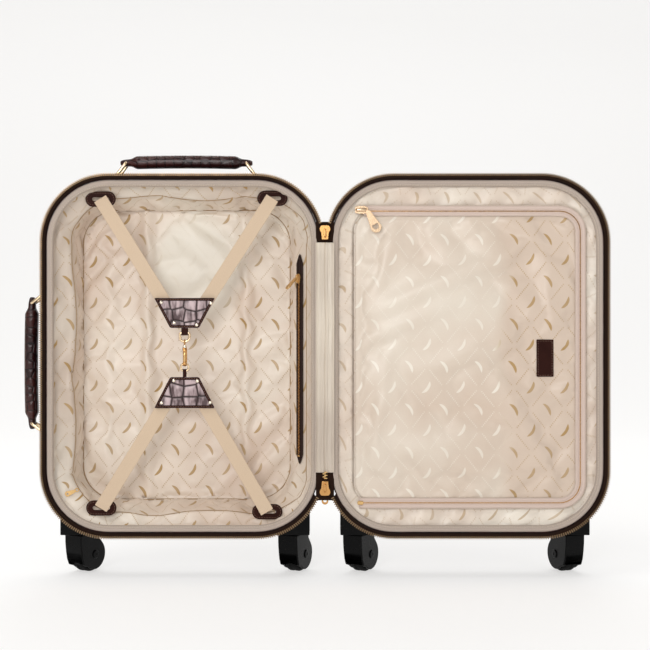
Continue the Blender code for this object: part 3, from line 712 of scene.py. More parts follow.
def relax(obj, pinned, slack, reach, back):
    """Let cloth cut a little too large buckle between its seams, and keep the result.

    No point moves further than reach or behind the level back, and pinned points stay.
    """
    mesh = obj.data
    count = len(mesh.vertices)
    rest = np.zeros(count * 3)
    mesh.vertices.foreach_get("co", rest)
    rest = rest.reshape(-1, 3)
    ripple = 0.0006 * np.sin(rest[:, 0] * 97 + rest[:, 2] * 61)
    ripple += 0.0005 * np.sin(rest[:, 0] * -143 + rest[:, 2] * 118 + 1.3)
    start = rest.copy()
    start[:, 1] += np.where(pinned, 0.0, ripple)
    mesh.vertices.foreach_set("co", start.ravel())
    group = obj.vertex_groups.new(name="pinned")
    group.add([int(i) for i in np.flatnonzero(pinned)], 1.0, "REPLACE")
    cloth = obj.modifiers.new("cloth", "CLOTH")
    settings = cloth.settings
    settings.vertex_group_mass = "pinned"
    settings.quality = 5
    settings.mass = 0.15
    settings.tension_stiffness = 12
    settings.compression_stiffness = 12
    settings.shear_stiffness = 6
    settings.bending_stiffness = 0.25
    settings.shrink_min = -slack
    settings.effector_weights.gravity = 0.0
    cloth.collision_settings.use_collision = False
    cloth.point_cache.frame_start = 1
    cloth.point_cache.frame_end = CLOTH_FRAMES
    scene = bpy.context.scene
    scene.frame_start, scene.frame_end = 1, CLOTH_FRAMES
    for step in range(1, CLOTH_FRAMES + 1):
        scene.frame_set(step)
    shape = obj.evaluated_get(bpy.context.evaluated_depsgraph_get()).data
    ended = np.zeros(count * 3)
    shape.vertices.foreach_get("co", ended)
    shift = ended.reshape(-1, 3) - rest
    length = np.linalg.norm(shift, axis=1)
    shift *= (reach * np.tanh(length / reach) / np.maximum(length, 1e-9))[:, None]
    obj.modifiers.remove(cloth)
    obj.vertex_groups.clear()
    ended = rest + shift
    ended[:, 1] = np.minimum(ended[:, 1], np.maximum(rest[:, 1], back))
    mesh.vertices.foreach_set("co", ended.ravel())
    scene.frame_set(1)


# ---------------------------------------------------------------- shells and rims

def shell(name, side, body):
    """Moulded half covered in croc leather, with a turned-over lip at the rim."""
    rows = mm((2.4, 2), (2.1, 0.3), (1.2, 0), (0.4, 0.2), (0, 0.9))
    rows += [(0.0, y) for y in np.linspace(0.006, DEPTH - BACK_EDGE, 13)]
    rows += arc(BACK_EDGE, DEPTH - BACK_EDGE, BACK_EDGE, 180, 90, 12)[1:]
    rows += [(inset, DEPTH) for inset in np.linspace(0.032, 0.176, 18)]
    rings = [loop(side, inset, y) for inset, y in rows]
    verts, faces = grid(rings, wrap_cols=True)
    faces.append(tuple(range(len(verts) - len(rings[0]), len(verts))))
    obj = piece(name + "_leather", (verts, faces), CROC_BIG, body, name, thickness=0.0016,
                smooth=60)
    if side == CASE:
        middle = -CENTRE_U
        cut = slab(rounded(middle - 0.0923, middle + 0.0923, 0.0712, 0.0978, 0.005), 0.505,
                   TOP + 0.01, "Z")
        carve(obj, cut)


def carve(obj, tool_shape):
    """Cut a shape out of obj and keep the result as its mesh."""
    mesh = new_mesh("tool", tool_shape)
    face_outwards(mesh)
    tool = placed("tool", mesh, ORIGIN)
    bpy.context.view_layer.update()
    step = obj.modifiers.new("carve", "BOOLEAN")
    step.operation = "DIFFERENCE"
    step.solver = "EXACT"
    step.object = tool
    bpy.context.view_layer.update()
    shape = obj.evaluated_get(bpy.context.evaluated_depsgraph_get())
    carved = bpy.data.meshes.new_from_object(shape)
    obj.modifiers.clear()
    obj.data = carved
    bpy.data.objects.remove(tool)


def main_zip(side, body, prefix):
    """Tape that leaves the shell and splays outwards, with its row of metal teeth."""
    section = mm((-0.6, 8), (-0.6, 0.4), (-1.2, -1.2), (-3, -3.6), (-4.8, -5.2), (-6, -5.6))
    ways = np.stack([zip_way(side, inset, y) for inset, y in section], 1)
    piece(f"{prefix}_zip_tape_cloth", grid(ways), TAPE, body, f"{prefix}_zip_tape",
          thickness=0.0007, offset=0)
    way = zip_way(side, -0.0056, -0.0059)
    points, ahead = spaced(way, 0.0030)
    centre = np.array((side * CENTRE_U, 0, BOTTOM + HEIGHT / 2))
    outward = points - centre
    outward -= (outward * ahead).sum(1)[:, None] * ahead
    outward[:, 1] = 0
    outward /= np.linalg.norm(outward, axis=1)[:, None]
    flip = np.cross(ahead, outward)
    tooth = block(0.00085, 0.0020, 0.0009, 0.72)
    shape = copies(tooth, points, ahead, flip)
    piece(f"{prefix}_zip_teeth", shape, DARK_BRASS, body, smooth=30)


def binding(side, body, prefix):
    """Rolled binding inside the rim, with a groove along it and slight waves."""
    section = mm((1.4, -0.3), (1.6, -1.2), (2.6, -2.1), (4.2, -2.4), (5.4, -1.8), (5.9, -1.4),
                 (6.5, -1.9), (7.6, -2.1), (8.8, -1.4), (9.8, 0.1), (10.3, 1.8), (10, 3.6),
                 (9, 4.2), (3.4, 4.2))
    rings = np.array([loop(side, inset, y) for inset, y in section])
    count = rings.shape[1]
    t = np.linspace(0, 2 * np.pi, count, endpoint=False)
    wave = 0.00030 * np.sin(17 * t + side) + 0.00022 * np.sin(41 * t + 2.0) + 0.0002 * np.sin(7 * t)
    rings[1:10, :, 1] += wave
    ring = grid(rings, wrap_rows=True, wrap_cols=True)
    piece(f"{prefix}_rim_binding", ring, TRIM, body, f"{prefix}_rim_trim", subdivide=1, round=True)
    way = loop(side, 0.0084, -0.0019)
    way[:, 1] += wave
    stitching(f"{prefix}_binding_stitches", way, FRONT, PALE_THREAD, body, True, 0.00024)


# ---------------------------------------------------------------- linings

LINING_NET = 0.0048                # spacing of a lining's mesh


def flat_places(points):
    """Where points lie on the cloth when it is flat: as seen from the front."""
    return points[:, [0, 2, 1]] * (1, 1, 0)


def lining(name, side, levels, body, node, pins, slack, folds=None):
    """A satin lining through levels of four insets, y and corner radius, closed at the back."""
    rows = between(levels, LINING_NET)
    rings = [loop(side, tuple(row[:4]), row[4], row[5]) for row in rows]
    run = [np.zeros(4)]
    for a, b in zip(rows[:-1], rows[1:]):
        run.append(run[-1] + np.hypot(b[:4] - a[:4], b[4] - a[4]))
    seam = pins["seam"]
    seam_row = min(range(len(rows)), key=lambda i: abs(rows[i][4] - seam[4])
                   + abs(rows[i][0] - seam[0]))
    weave = []
    for i, row in enumerate(rows):
        out = run[seam_row] - run[i]
        insets = tuple(np.array(rows[seam_row][:4]) - out)
        flat = loop(side, insets, 0, max(rows[seam_row][5] + out.mean(), 0.0005))
        if i > seam_row:
            flat = rings[i]
        weave.append(flat_places(flat))
    verts, faces = filled_grid(rings, LINING_NET)
    count = len(rings[0])
    weave.append(flat_places(verts[len(rows) * count:]))
    if folds:
        verts = folds(verts)
    pinned = np.zeros(len(verts), bool)
    for low, high in pins.get("boxes", ()):
        pinned |= np.all((verts > low) & (verts < high), axis=1)
    for i, row in enumerate(rows):
        if any(abs(row[4] - p[4]) + abs(row[0] - p[0]) < 1e-6 for p in pins["rows"]):
            pinned[i * count:(i + 1) * count] = True
    obj = piece(name, (verts, faces), SATIN, body, node, weave=np.concatenate(weave),
                slack=(pinned, slack) + pins["room"], thickness=0.0006, round=True)
    return obj, rows, count


def seam_line(name, obj, row, count, lift, thick):
    """A sewn line along a row of the case lining's own mesh."""
    verts = np.array([v.co for v in obj.data.vertices])[row * count:(row + 1) * count]
    verts[:, 1] -= lift
    verts[:, 0] += lift * 0.4 * np.sign(-verts[:, 0] - CENTRE_U)
    shape = tube(verts, thick, sides=8, closed=True)
    piece(name, shape, SEAM, "case", round=True)


def case_lining():
    levels = mm((6, 6, 6, 6, 5, 78), (10.4, 11, 11.2, 11, 15, 73), (12.5, 21, 17.5, 16, 19, 67),
                (17, 34, 24, 24, 24, 59.2), (33, 35, 29, 29, 45, 52.5), (40, 37, 36, 36, 70, 46.7),
                (46, 43, 42, 42, 71.2, 40.7))

    def ridges(verts):
        """Soft ridges where the lining runs over the covers of the trolley tubes."""
        out = verts.copy()
        deep = verts[:, 1] > 0.066
        for centre, height in ((-0.246, 0.0068), (-0.110, 0.0062), (-0.300, 0.0025)):
            bell = np.exp(-((verts[:, 0] - centre) / 0.010) ** 2)
            out[:, 1] -= np.where(deep, height * bell, 0)
        return out

    zip_box = ((-0.062, 0.012, 0.138), (-0.018, 0.056, 0.452))
    patch_boxes = [((x - 0.018, -1, z - 0.009), (x + 0.018, 0.03, z + 0.009))
                   for _, (x, z), _ in STRAPS]
    pins = {"seam": levels[5], "rows": [levels[0], levels[5]], "boxes": [zip_box] + patch_boxes,
            "room": (0.0055, 0.0709)}
    obj, rows, count = lining("case_satin", CASE, levels, "case", "case_lining", pins, 0.055,
                              ridges)
    for word, level, lift, thick in (("panel", 5, 0.0009, 0.0009), ("wall", 3, 0.0007, 0.0006)):
        row = next(i for i, r in enumerate(rows) if abs(r[4] - levels[level][4]) < 1e-6)
        seam_line(f"case_{word}_seam", obj, row, count, lift, thick)


def lid_lining():
    levels = mm((6, 6, 6, 6, 6.4, 78), (10, 10, 10, 10, 8, 74), (18, 16, 23, 22, 8.8, 56),
                (30, 25, 39, 36, 11, 30), (29, 25, 39, 36, 13, 31), (10, 10, 10, 10, 22, 74),
                (6.2, 6.2, 6.2, 6.2, 30, 77.8), (7.2, 7.2, 7.2, 7.2, 70, 76.8),
                (16.5, 16.5, 16.5, 16.5, 90, 67.5), (30, 30, 30, 30, 96.5, 54),
                (36, 36, 36, 36, 96.6, 48))
    pins = {"seam": levels[3], "rows": [levels[0], levels[3], levels[4], levels[9]],
            "room": (0.0036, 0.0966)}
    lining("lid_satin", LID, levels, "lid", "lid_lining", pins, 0.032)


PLEATS_BOTTOM, PLEATS_TOP = 0.1435, 0.4515
PLEAT = 0.0050


def pleats():
    """Pleated cloth over the hinge, and the dark patches at its ends."""
    across = np.linspace(-0.0125, 0.0125, 41)
    fold = 0.0006 * np.cos(across * 2 * np.pi / PLEAT) + 0.0003 * np.cos(across * 1730)
    rows = []
    for z in np.linspace(PLEATS_BOTTOM, PLEATS_TOP, 60):
        sway = 0.0007 * math.sin(z * 23) + 0.0005 * math.sin(z * 57 + 1)
        bend = 0.0004 * np.sin(z * 90 + across * 400)
        rows.append(np.stack([across + sway * np.cos(across * 120),
                              -0.0040 + fold + bend, np.full(41, z)], 1))
    cloth = piece("hinge_pleats", grid(rows), GUSSET, None, "hinge_gusset", thickness=0.0005,
                  subdivide=1, round=True)
    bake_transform(cloth)
    for word, z0, z1 in (("upper", PLEATS_TOP, 0.4790), ("lower", 0.1065, PLEATS_BOTTOM)):
        steps = np.linspace(-0.0122, 0.0122, 21)
        rows = [np.stack([steps, -0.0020 + 0 * steps, np.full(21, z)], 1)
                for z in np.linspace(z0, z1, 12)]
        patch = piece(f"zip_end_patch_{word}", grid(rows), TAPE, None, thickness=0.0008, offset=0)
        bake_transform(patch)


# ---------------------------------------------------------------- zips and their sliders

def main_slider(word, z, wide_end):
    """Die-cast slider at an end of the main zip, with its bridge and the puller behind."""
    half = mm((0, -9.3), (4.2, -9.3), (4.7, -4), (5.2, 0), (6.8, 2.6), (7.2, 5), (6.6, 7.2),
              (5, 9.2), (0, 9.6))
    shape = [(x, z + wide_end * dz) for x, dz in mirrored(half)]
    front = CLOSING_PLANE - 0.0034
    plates = join([slab(shape, front, front + 0.0020), slab(shape, front + 0.0048, front + 0.0068)])
    neck = slab(pill(0, z, 0.0022, 0.006, 0.002), front + 0.001, front + 0.006)
    rise = mm((0.4, -6.2), (-1.2, -5.4), (-1.4, 0), (-1.2, 3.4), (0.4, 4.2))
    way = [(0, front + a, z + wide_end * b) for a, b in rise]
    bridge = tube(way, 0.0011, (1, 0, 0), 10, flat=1.6)
    piece(f"{word}_main_slider_body", join([plates, neck, bridge]), ROSE_BRASS, "case",
          f"{word}_main_slider", bevel=0.0005)
    top = CLOSING_PLANE + 0.0056
    tab = [(-0.0030, z + 0.0052)] + arc(0, z - 0.018, 0.0045, 180, 360, 12) + [(0.0030, z + 0.0052)]
    hole = pill(0, z - 0.0175, 0.0022, 0.0020, 0.0019, 5)
    piece(f"{word}_main_puller_tab", frame_slab(tab, hole, top - 0.0009, top + 0.0009), ROSE_BRASS,
          f"{word}_main_puller", f"{word}_main_puller", bevel=0.0004)


def frame_slab(outline, hole, low, high):
    """A slab along Y with a hole through it, both outlines resampled to matching points."""
    rays = 48
    centre = np.mean(np.array(hole), axis=0)

    def ray_ring(points):
        closed = np.array(list(points) + [points[0]], float)
        found = []
        for k in range(rays):
            t = 2 * math.pi * k / rays
            d = np.array((math.cos(t), math.sin(t)))
            best = 0.0
            for p, q in zip(closed[:-1], closed[1:]):
                edge = q - p
                det = d[0] * -edge[1] + d[1] * edge[0]
                if abs(det) < 1e-15:
                    continue
                rel = p - centre
                along = (rel[0] * -edge[1] + rel[1] * edge[0]) / det
                share = (d[0] * rel[1] - d[1] * rel[0]) / det
                if along > best and -1e-9 <= share <= 1 + 1e-9:
                    best = along
            found.append(centre + best * d)
        return found

    outer, inner = ray_ring(outline), ray_ring(hole)
    return hoop(outer, inner, low, high)


def hoop(outer, inner, low, high):
    """A ring along Y between two outlines of matching (x, z) points."""
    rings = [[(p[0], level, p[1]) for p in points] for points, level in
             ((outer, low), (outer, high), (inner, high), (inner, low))]
    return grid(rings, wrap_rows=True, wrap_cols=True)


def end_teeth():
    """The few closed pairs of teeth above the lower slider."""
    unit = block(0.0007, 0.0021, 0.0011)
    shapes = []
    for k in range(5):
        z = 0.1365 + k * 0.0020
        side = -1 if k % 2 else 1
        points = np.array([(side * 0.0010, CLOSING_PLANE, z)])
        shapes.append(copies(unit, points, np.array([(0, 0, 1.0)]), FRONT))
    piece("closed_teeth", join(shapes), BRASS, "case", bevel=0.0002)


def pocket_zip():
    """Zip in the sloping hinge-side wall: pointed tape, teeth, slider, stop and puller."""
    up, out, count = (0, 0, 1.0), (0, 1, 0), 123
    slope = math.atan2(0.021, -0.016)
    wall = Matrix.Translation((-0.033, 0.0345, 0)) @ Matrix.Rotation(slope, 4, "Z")

    def on_wall(shape):
        return moved(shape, wall)

    tape = mm((-7.4, 164), (-2, 153), (0, 151), (2, 153), (7.4, 164), (7.4, 425), (2, 436),
              (0, 438), (-2, 436), (-7.4, 425))
    piece("pocket_tape", on_wall(slab(tape, 0.0016, 0.0024)), POCKET_TAPE, "case",
          "pocket_zip_tape", bevel=0.0003)
    for end in (-1, 1):
        lip = tube([(end * 0.0021, 0.0026, z) for z in np.linspace(0.158, 0.430, 60)], 0.0007,
                   sides=8)
        piece(f"pocket_tape_lip_{'in' if end < 0 else 'out'}", on_wall(lip), POCKET_TAPE, "case",
              round=True)
    points = np.array([(0.0005 * (-1) ** k, 0.0029, 0.166 + 0.0019 * k) for k in range(count)])
    teeth = copies(block(0.0006, 0.0014, 0.0007), points, np.tile(up, (count, 1)), out)
    piece("pocket_teeth", on_wall(teeth), ROSE_BRASS, "case")
    z = 0.4045
    half = mm((0, -6.6), (3.4, -6.4), (4, -3), (4.6, 2.4), (3.4, 6), (0, 6.4))
    body = [(x, z + dz) for x, dz in mirrored(half)]
    top = 0.0052
    rise = mm((0, -5), (2.6, -4), (3, 0), (2.6, 4), (0, 5))
    bridge = tube([(0, top + a, z + b) for a, b in rise], 0.0010, (1, 0, 0), 10, flat=1.5)
    shape = join([slab(body, 0.0039, top), bridge])
    piece("pocket_slider_body", on_wall(shape), BRASS, "pocket_slider", "pocket_slider",
          bevel=0.0004)
    stop = block(0.0012, 0.0022, 0.0012)
    shape = copies(stop, np.array([(0, 0.0030, 0.1625)]), np.array([up]), out)
    piece("pocket_stop", on_wall(shape), BRASS, "case", bevel=0.0003)
    tab = pull_tab(0.0024, 0.0014, 0.0165, 0.0045, 12)
    hole = pill(0, -0.0160, 0.0020, 0.0020, 0.0018, 5)
    hang = Matrix.Translation((0, 0.0094, z)) @ Matrix.Rotation(math.radians(45), 4, "X")
    shape = moved(frame_slab(tab, hole, -0.0008, 0.0008), wall @ hang)
    piece("pocket_puller_tab", shape, BRASS, "pocket_puller", "pocket_puller", bevel=0.0004)


# ---------------------------------------------------------------- straps and clasp

STRAP_X = -0.189
CLASP_Y = 0.0100
STRAP_WIDTH = 0.0185
STRAPS = (
    ("upper_left", (-0.303, 0.511), (-0.203, 0.350)),
    ("upper_right", (-0.071, 0.512), (-0.175, 0.350)),
    ("lower_left", (-0.302, 0.094), (-0.203, 0.255)),
    ("lower_right", (-0.078, 0.089), (-0.175, 0.255)),
)


def strap(name, patch, end):
    """A flat woven strap that rises out of the slot of its leather patch."""
    start, stop = Vector((patch[0], 0, patch[1])), Vector((end[0], 0, end[1]))
    count = 40
    half = STRAP_WIDTH / 2
    across = (stop - start).normalized().cross(Vector((0, 1, 0)))
    profile = ((-1.0, 0.0), (-0.97, -0.0006), (-0.85, -0.0007), (0.85, -0.0007), (0.97, -0.0006),
               (1.0, 0.0), (0.97, 0.0006), (-0.97, 0.0006))
    rows = []
    for i in range(count + 1):
        t = i / count
        point = start.lerp(stop, t)
        sag = 0.0016 * math.sin(math.pi * t)
        dive = 0.0022 * math.exp(-t * 26)
        rows.append([point + across * half * a + Vector((0, 0.0118 + b + sag - dive * 0.9, 0))
                     for a, b in profile])
    piece(f"strap_{name}_web", grid(rows, wrap_cols=True, caps=True), WEBBING, "case",
          f"strap_{name}", smooth=50)
    cx, cz = patch
    outer = pill(cx, cz, 0.0205, 0.0103, 0.0102, 12)
    slot = pill(cx, cz, 0.0118, 0.0026, 0.0025)
    piece(f"strap_patch_{name}_leather", frame_slab(outer, slot, 0.0128, 0.0150), CALF, "case",
          f"strap_patch_{name}", bevel=0.0007)
    border = standing(pill(cx, cz, 0.0182, 0.0080, 0.0079, 12), 0.0127)
    stitching(f"strap_patch_{name}_stitches", border, FRONT, BROWN_THREAD, "case", True)


def clasp_plate(word, z_wide, z_narrow, rivets, tab_end, tab_half):
    """Croc leather trapezium with turned edges, stitches, rivets and the tab of its ring."""
    way = 1 if z_wide > z_narrow else -1
    outline = [(STRAP_X - 0.041, z_wide), (STRAP_X + 0.041, z_wide), (STRAP_X + 0.0195, z_narrow),
               (STRAP_X - 0.0195, z_narrow)]
    front = CLASP_Y - 0.0022
    shape = slab(soften(outline, 0.0022), front, CLASP_Y + 0.0009)
    piece(f"{word}_clasp_leather", shape, CROC_PLATE, "case", f"{word}_clasp_plate", bevel=0.0008)
    outer, inner = soften(shrink(outline, 0.0003), 0.0022), soften(shrink(outline, 0.0038), 0.0012)
    piece(f"{word}_clasp_edge", hoop(outer, inner, front - 0.0006, front + 0.0006), CALF, "case",
          bevel=0.0003)
    path = dense(shrink(outline, 0.0020), 0.002)
    stitching(f"{word}_clasp_stitches", standing(path, front - 0.0007), FRONT, BROWN_THREAD,
              "case", True, 0.00026)
    low, high = sorted((z_narrow + way * 0.003, tab_end))
    tab = slab(rounded(STRAP_X - tab_half, STRAP_X + tab_half, low, high, 0.0008), front + 0.0004,
               CLASP_Y + 0.0016)
    piece(f"{word}_clasp_tab", tab, CALF, "case", bevel=0.0005)
    unit = lathe(mm((2.5, 0), (2.5, 0.4), (2, 1.1), (1.1, 1.5), (0.2, 1.6)), 20)
    points = standing(rivets, front - 0.0003)
    ahead = np.tile((1.0, 0, 0), (len(points), 1))
    piece(f"{word}_clasp_rivets", copies(unit, points, ahead, FRONT), PALE_METAL, "case", smooth=50)


def soften(outline, radius):
    """Round an outline's corners by cutting them with short arcs."""
    points = [Vector(p) for p in outline]
    out = []
    for i, p in enumerate(points):
        before = (points[i - 1] - p).normalized() * radius
        after = (points[(i + 1) % len(points)] - p).normalized() * radius
        for t in (0, 0.25, 0.5, 0.75, 1):
            out.append(tuple((p + before) * (1 - t) ** 2 + p * 2 * t * (1 - t)
                             + (p + after) * t ** 2))
    return out


def shrink(outline, amount):
    """Move an outline's corners in from both of their edges."""
    points = [Vector(p) for p in outline]
    centre = sum(points, Vector((0, 0))) / len(points)
    out = []
    for i, p in enumerate(points):
        a = (points[i - 1] - p).normalized()
        b = (points[(i + 1) % len(points)] - p).normalized()
        half = math.acos(max(-1, min(1, a.dot(b)))) / 2
        inward = (a + b).normalized()
        if inward.dot(centre - p) < 0:
            inward = -inward
        out.append(tuple(p + inward * amount / math.sin(half)))
    return out


def dense(outline, step):
    """A closed outline with points at least a step apart."""
    out = []
    for p, q in zip(outline, outline[1:] + outline[:1]):
        p, q = np.array(p), np.array(q)
        count = max(int(np.linalg.norm(q - p) / step), 1)
        out += [tuple(p + (q - p) * k / count) for k in range(count)]
    return out


def clasp():
    """The plates, the D ring, the swivel hook with its gate, and the ring that it holds."""
    clasp_plate("upper", 0.3774, 0.3370, mm((-220.3, 371.5), (-153.5, 370.5), (-203, 344),
                                            (-172.7, 341.2)), 0.3270, 0.0045)
    clasp_plate("lower", 0.2291, 0.2709, mm((-203.5, 266.3), (-171.7, 265.6), (-220, 236.2),
                                            (-154.6, 236.6)), 0.2817, 0.0024)
    half, drop = 0.0065, 0.3250
    d_way = [(STRAP_X + a, CLASP_Y, b) for a, b in
             rounded(-half, half, drop - 0.001, 0.3300, 0.0015, 4)[:10]
             + arc(0, drop, half, 180, 360, 16)]
    piece("d_ring_bar", tube(d_way, 0.0016, sides=14, closed=True), RING_GOLD, "case",
          "upper_d_ring", round=True)
    ring = [(STRAP_X + a, CLASP_Y, b) for a, b in arc(0, 0.2840, 0.0053, 0, 350, 35)]
    piece("clasp_ring_bar", tube(ring, 0.0014, sides=14, closed=True), RING_GOLD, "case",
          "lower_ring", round=True)
    spine = [(-0.0037, 0.3052), (-0.0037, 0.3068)] + arc(0, 0.3062, 0.0037, 150, 30, 8)
    spine += [(0.0038, 0.3040), (0.0038, 0.2930)] + arc(0, 0.2906, 0.0038, 0, -180, 14)
    spine += [(-0.0038, 0.2912)]
    radii = np.interp(np.linspace(0, 1, len(spine)), (0, 0.1, 0.9, 1),
                      (0.0012, 0.0016, 0.0016, 0.0009))
    hook = tube([(STRAP_X, CLASP_Y + a, b) for a, b in spine], radii, (1, 0, 0), 14, flat=1.8)
    barrel = lathe(mm((1.2, 308.8), (2.5, 309.4), (3, 310.4), (3, 311.8), (2.4, 312.6),
                      (2.6, 313.2), (2, 314.2), (1, 315)), 24)
    barrel = moved(barrel, Matrix.Translation((STRAP_X, CLASP_Y, 0)))
    eye = tube([(STRAP_X, CLASP_Y + a, b) for a, b in arc(0, 0.3178, 0.0031, 0, 345, 23)], 0.0010,
               (1, 0, 0), 10, True)
    piece("clasp_hook_body", join([hook, eye]), ROSE_BRASS, "clasp_hook", "clasp_hook", smooth=50)
    piece("clasp_hook_barrel", barrel, PALE_METAL, "clasp_hook", smooth=50)
    gate = tube([(STRAP_X, CLASP_Y - 0.0037, z) for z in (0.3052, 0.3040, 0.2985, 0.2930, 0.2912)],
                np.array((0.0008, 0.0013, 0.0013, 0.0012, 0.0007)), (1, 0, 0), 14, flat=1.2)
    piece("clasp_gate_bar", gate, BRASS, "clasp_gate", "clasp_gate", smooth=60)


# ---------------------------------------------------------------- divider

PANEL = (0.040, 0.343, 0.102, 0.494)
PANEL_CORNER = 0.028
LABEL = (0.2955, 0.2965)


def panel_loop(inset, y):
    """Points round the divider panel."""
    x0, x1, z0, z1 = PANEL
    box = (x0 + inset, x1 - inset, z0 + inset, z1 - inset)
    return standing(round_box(box, PANEL_CORNER - inset, 12, (44, 56)), y)


def divider():
    """Satin panel with sewn edges, its U-shaped zip with tapes on both halves, and a label."""
    insets = np.array([0.0005, 0.0035, 0.0070, 0.0105, 0.0145])
    rings = [panel_loop(inset, 0.0080) for inset in insets]
    verts, faces = filled_grid(rings, 0.0045)
    count = len(rings[0])
    x, z = verts[:, 0], verts[:, 2]
    depth_in = np.minimum(np.minimum(x - PANEL[0], PANEL[1] - x),
                          np.minimum(z - PANEL[2], PANEL[3] - z))
    inner = np.clip((depth_in - 0.010) / 0.03, 0, 1)
    by_label = np.clip(np.hypot((x - LABEL[0]) / 0.030, (z - LABEL[1]) / 0.045) - 0.6, 0, 1)
    inner = inner * (0.25 + 0.75 * by_label)
    folds = np.zeros(len(verts))
    for px, pz, angle, length, wide, height in DIVIDER_FOLDS:
        t = math.radians(angle)
        along = (x - px) * math.cos(t) + (z - pz) * math.sin(t)
        over = -(x - px) * math.sin(t) + (z - pz) * math.cos(t)
        folds += 1.4 * height * np.exp(-(along / length) ** 2 - (over / wide) ** 2)
    verts[:, 1] -= inner * (folds + 0.0025 * np.sin(np.pi * (x - 0.04) / 0.306)
                            * np.sin(np.pi * (z - 0.102) / 0.392))
    weave = flat_places(verts)
    pinned = np.zeros(len(verts), bool)
    pinned[:3 * count] = True
    pinned |= (abs(x - LABEL[0]) < 0.013) & (abs(z - LABEL[1]) < 0.027)
    cloth = piece("divider_satin", (verts, faces), SATIN_PANEL, "divider", "divider_panel",
                  weave=weave, slack=(pinned, 0.030, 0.004, 0.0092), thickness=0.0016, round=True)
    zip_line()
    near = (abs(x - LABEL[0]) < 0.014) & (abs(z - LABEL[1]) < 0.028)
    heights = np.array([v.co.y for v in cloth.data.vertices])[near]
    label(float(heights.min()) - 0.0002)
    rings = [panel_loop(inset, y) for inset, y in ((-0.0085, 0.0118), (-0.0045, 0.0112),
                                                   (0.0060, 0.0114), (0.0110, 0.0122))]
    hem = grid(rings, wrap_cols=True)
    piece("divider_hem", hem, SATIN, "lid", weave=hem[0][:, [0, 2, 1]], thickness=0.0006,
          round=True)


# (x, z, angle, half length, half width, height) of the soft folds that cross the panel
DIVIDER_FOLDS = (
    (0.150, 0.395, 24, 0.110, 0.014, 0.0042), (0.125, 0.350, 22, 0.090, 0.012, 0.0030),
    (0.260, 0.420, 30, 0.070, 0.015, -0.0025), (0.190, 0.300, 27, 0.130, 0.017, 0.0030),
    (0.110, 0.260, 18, 0.080, 0.013, -0.0020), (0.290, 0.300, 62, 0.070, 0.013, 0.0030),
    (0.270, 0.200, 118, 0.090, 0.014, 0.0034), (0.160, 0.180, 12, 0.080, 0.016, 0.0022),
    (0.070, 0.200, 80, 0.080, 0.009, 0.0020), (0.075, 0.410, 70, 0.050, 0.009, 0.0018),
    (0.320, 0.260, 100, 0.120, 0.012, 0.0025), (0.230, 0.140, -14, 0.090, 0.012, 0.0020),
)


def u_way(inset, y):
    """The U of the divider's zip: along the top, down the far side and back along the bottom."""
    x0, x1, z0, z1 = PANEL
    r = PANEL_CORNER - inset
    way = [(x, z1 - inset) for x in np.linspace(x0 + 0.012, x1 - PANEL_CORNER, 40)]
    way += arc(x1 - PANEL_CORNER, z1 - PANEL_CORNER, r, 90, 0, 14)
    way += [(x1 - inset, z) for z in np.linspace(z1 - PANEL_CORNER, z0 + PANEL_CORNER, 50)][1:]
    way += arc(x1 - PANEL_CORNER, z0 + PANEL_CORNER, r, 0, -90, 14)[1:]
    way += [(x, z0 + inset) for x in np.linspace(x1 - PANEL_CORNER, x0 + 0.006, 40)][1:]
    return standing(way, y)


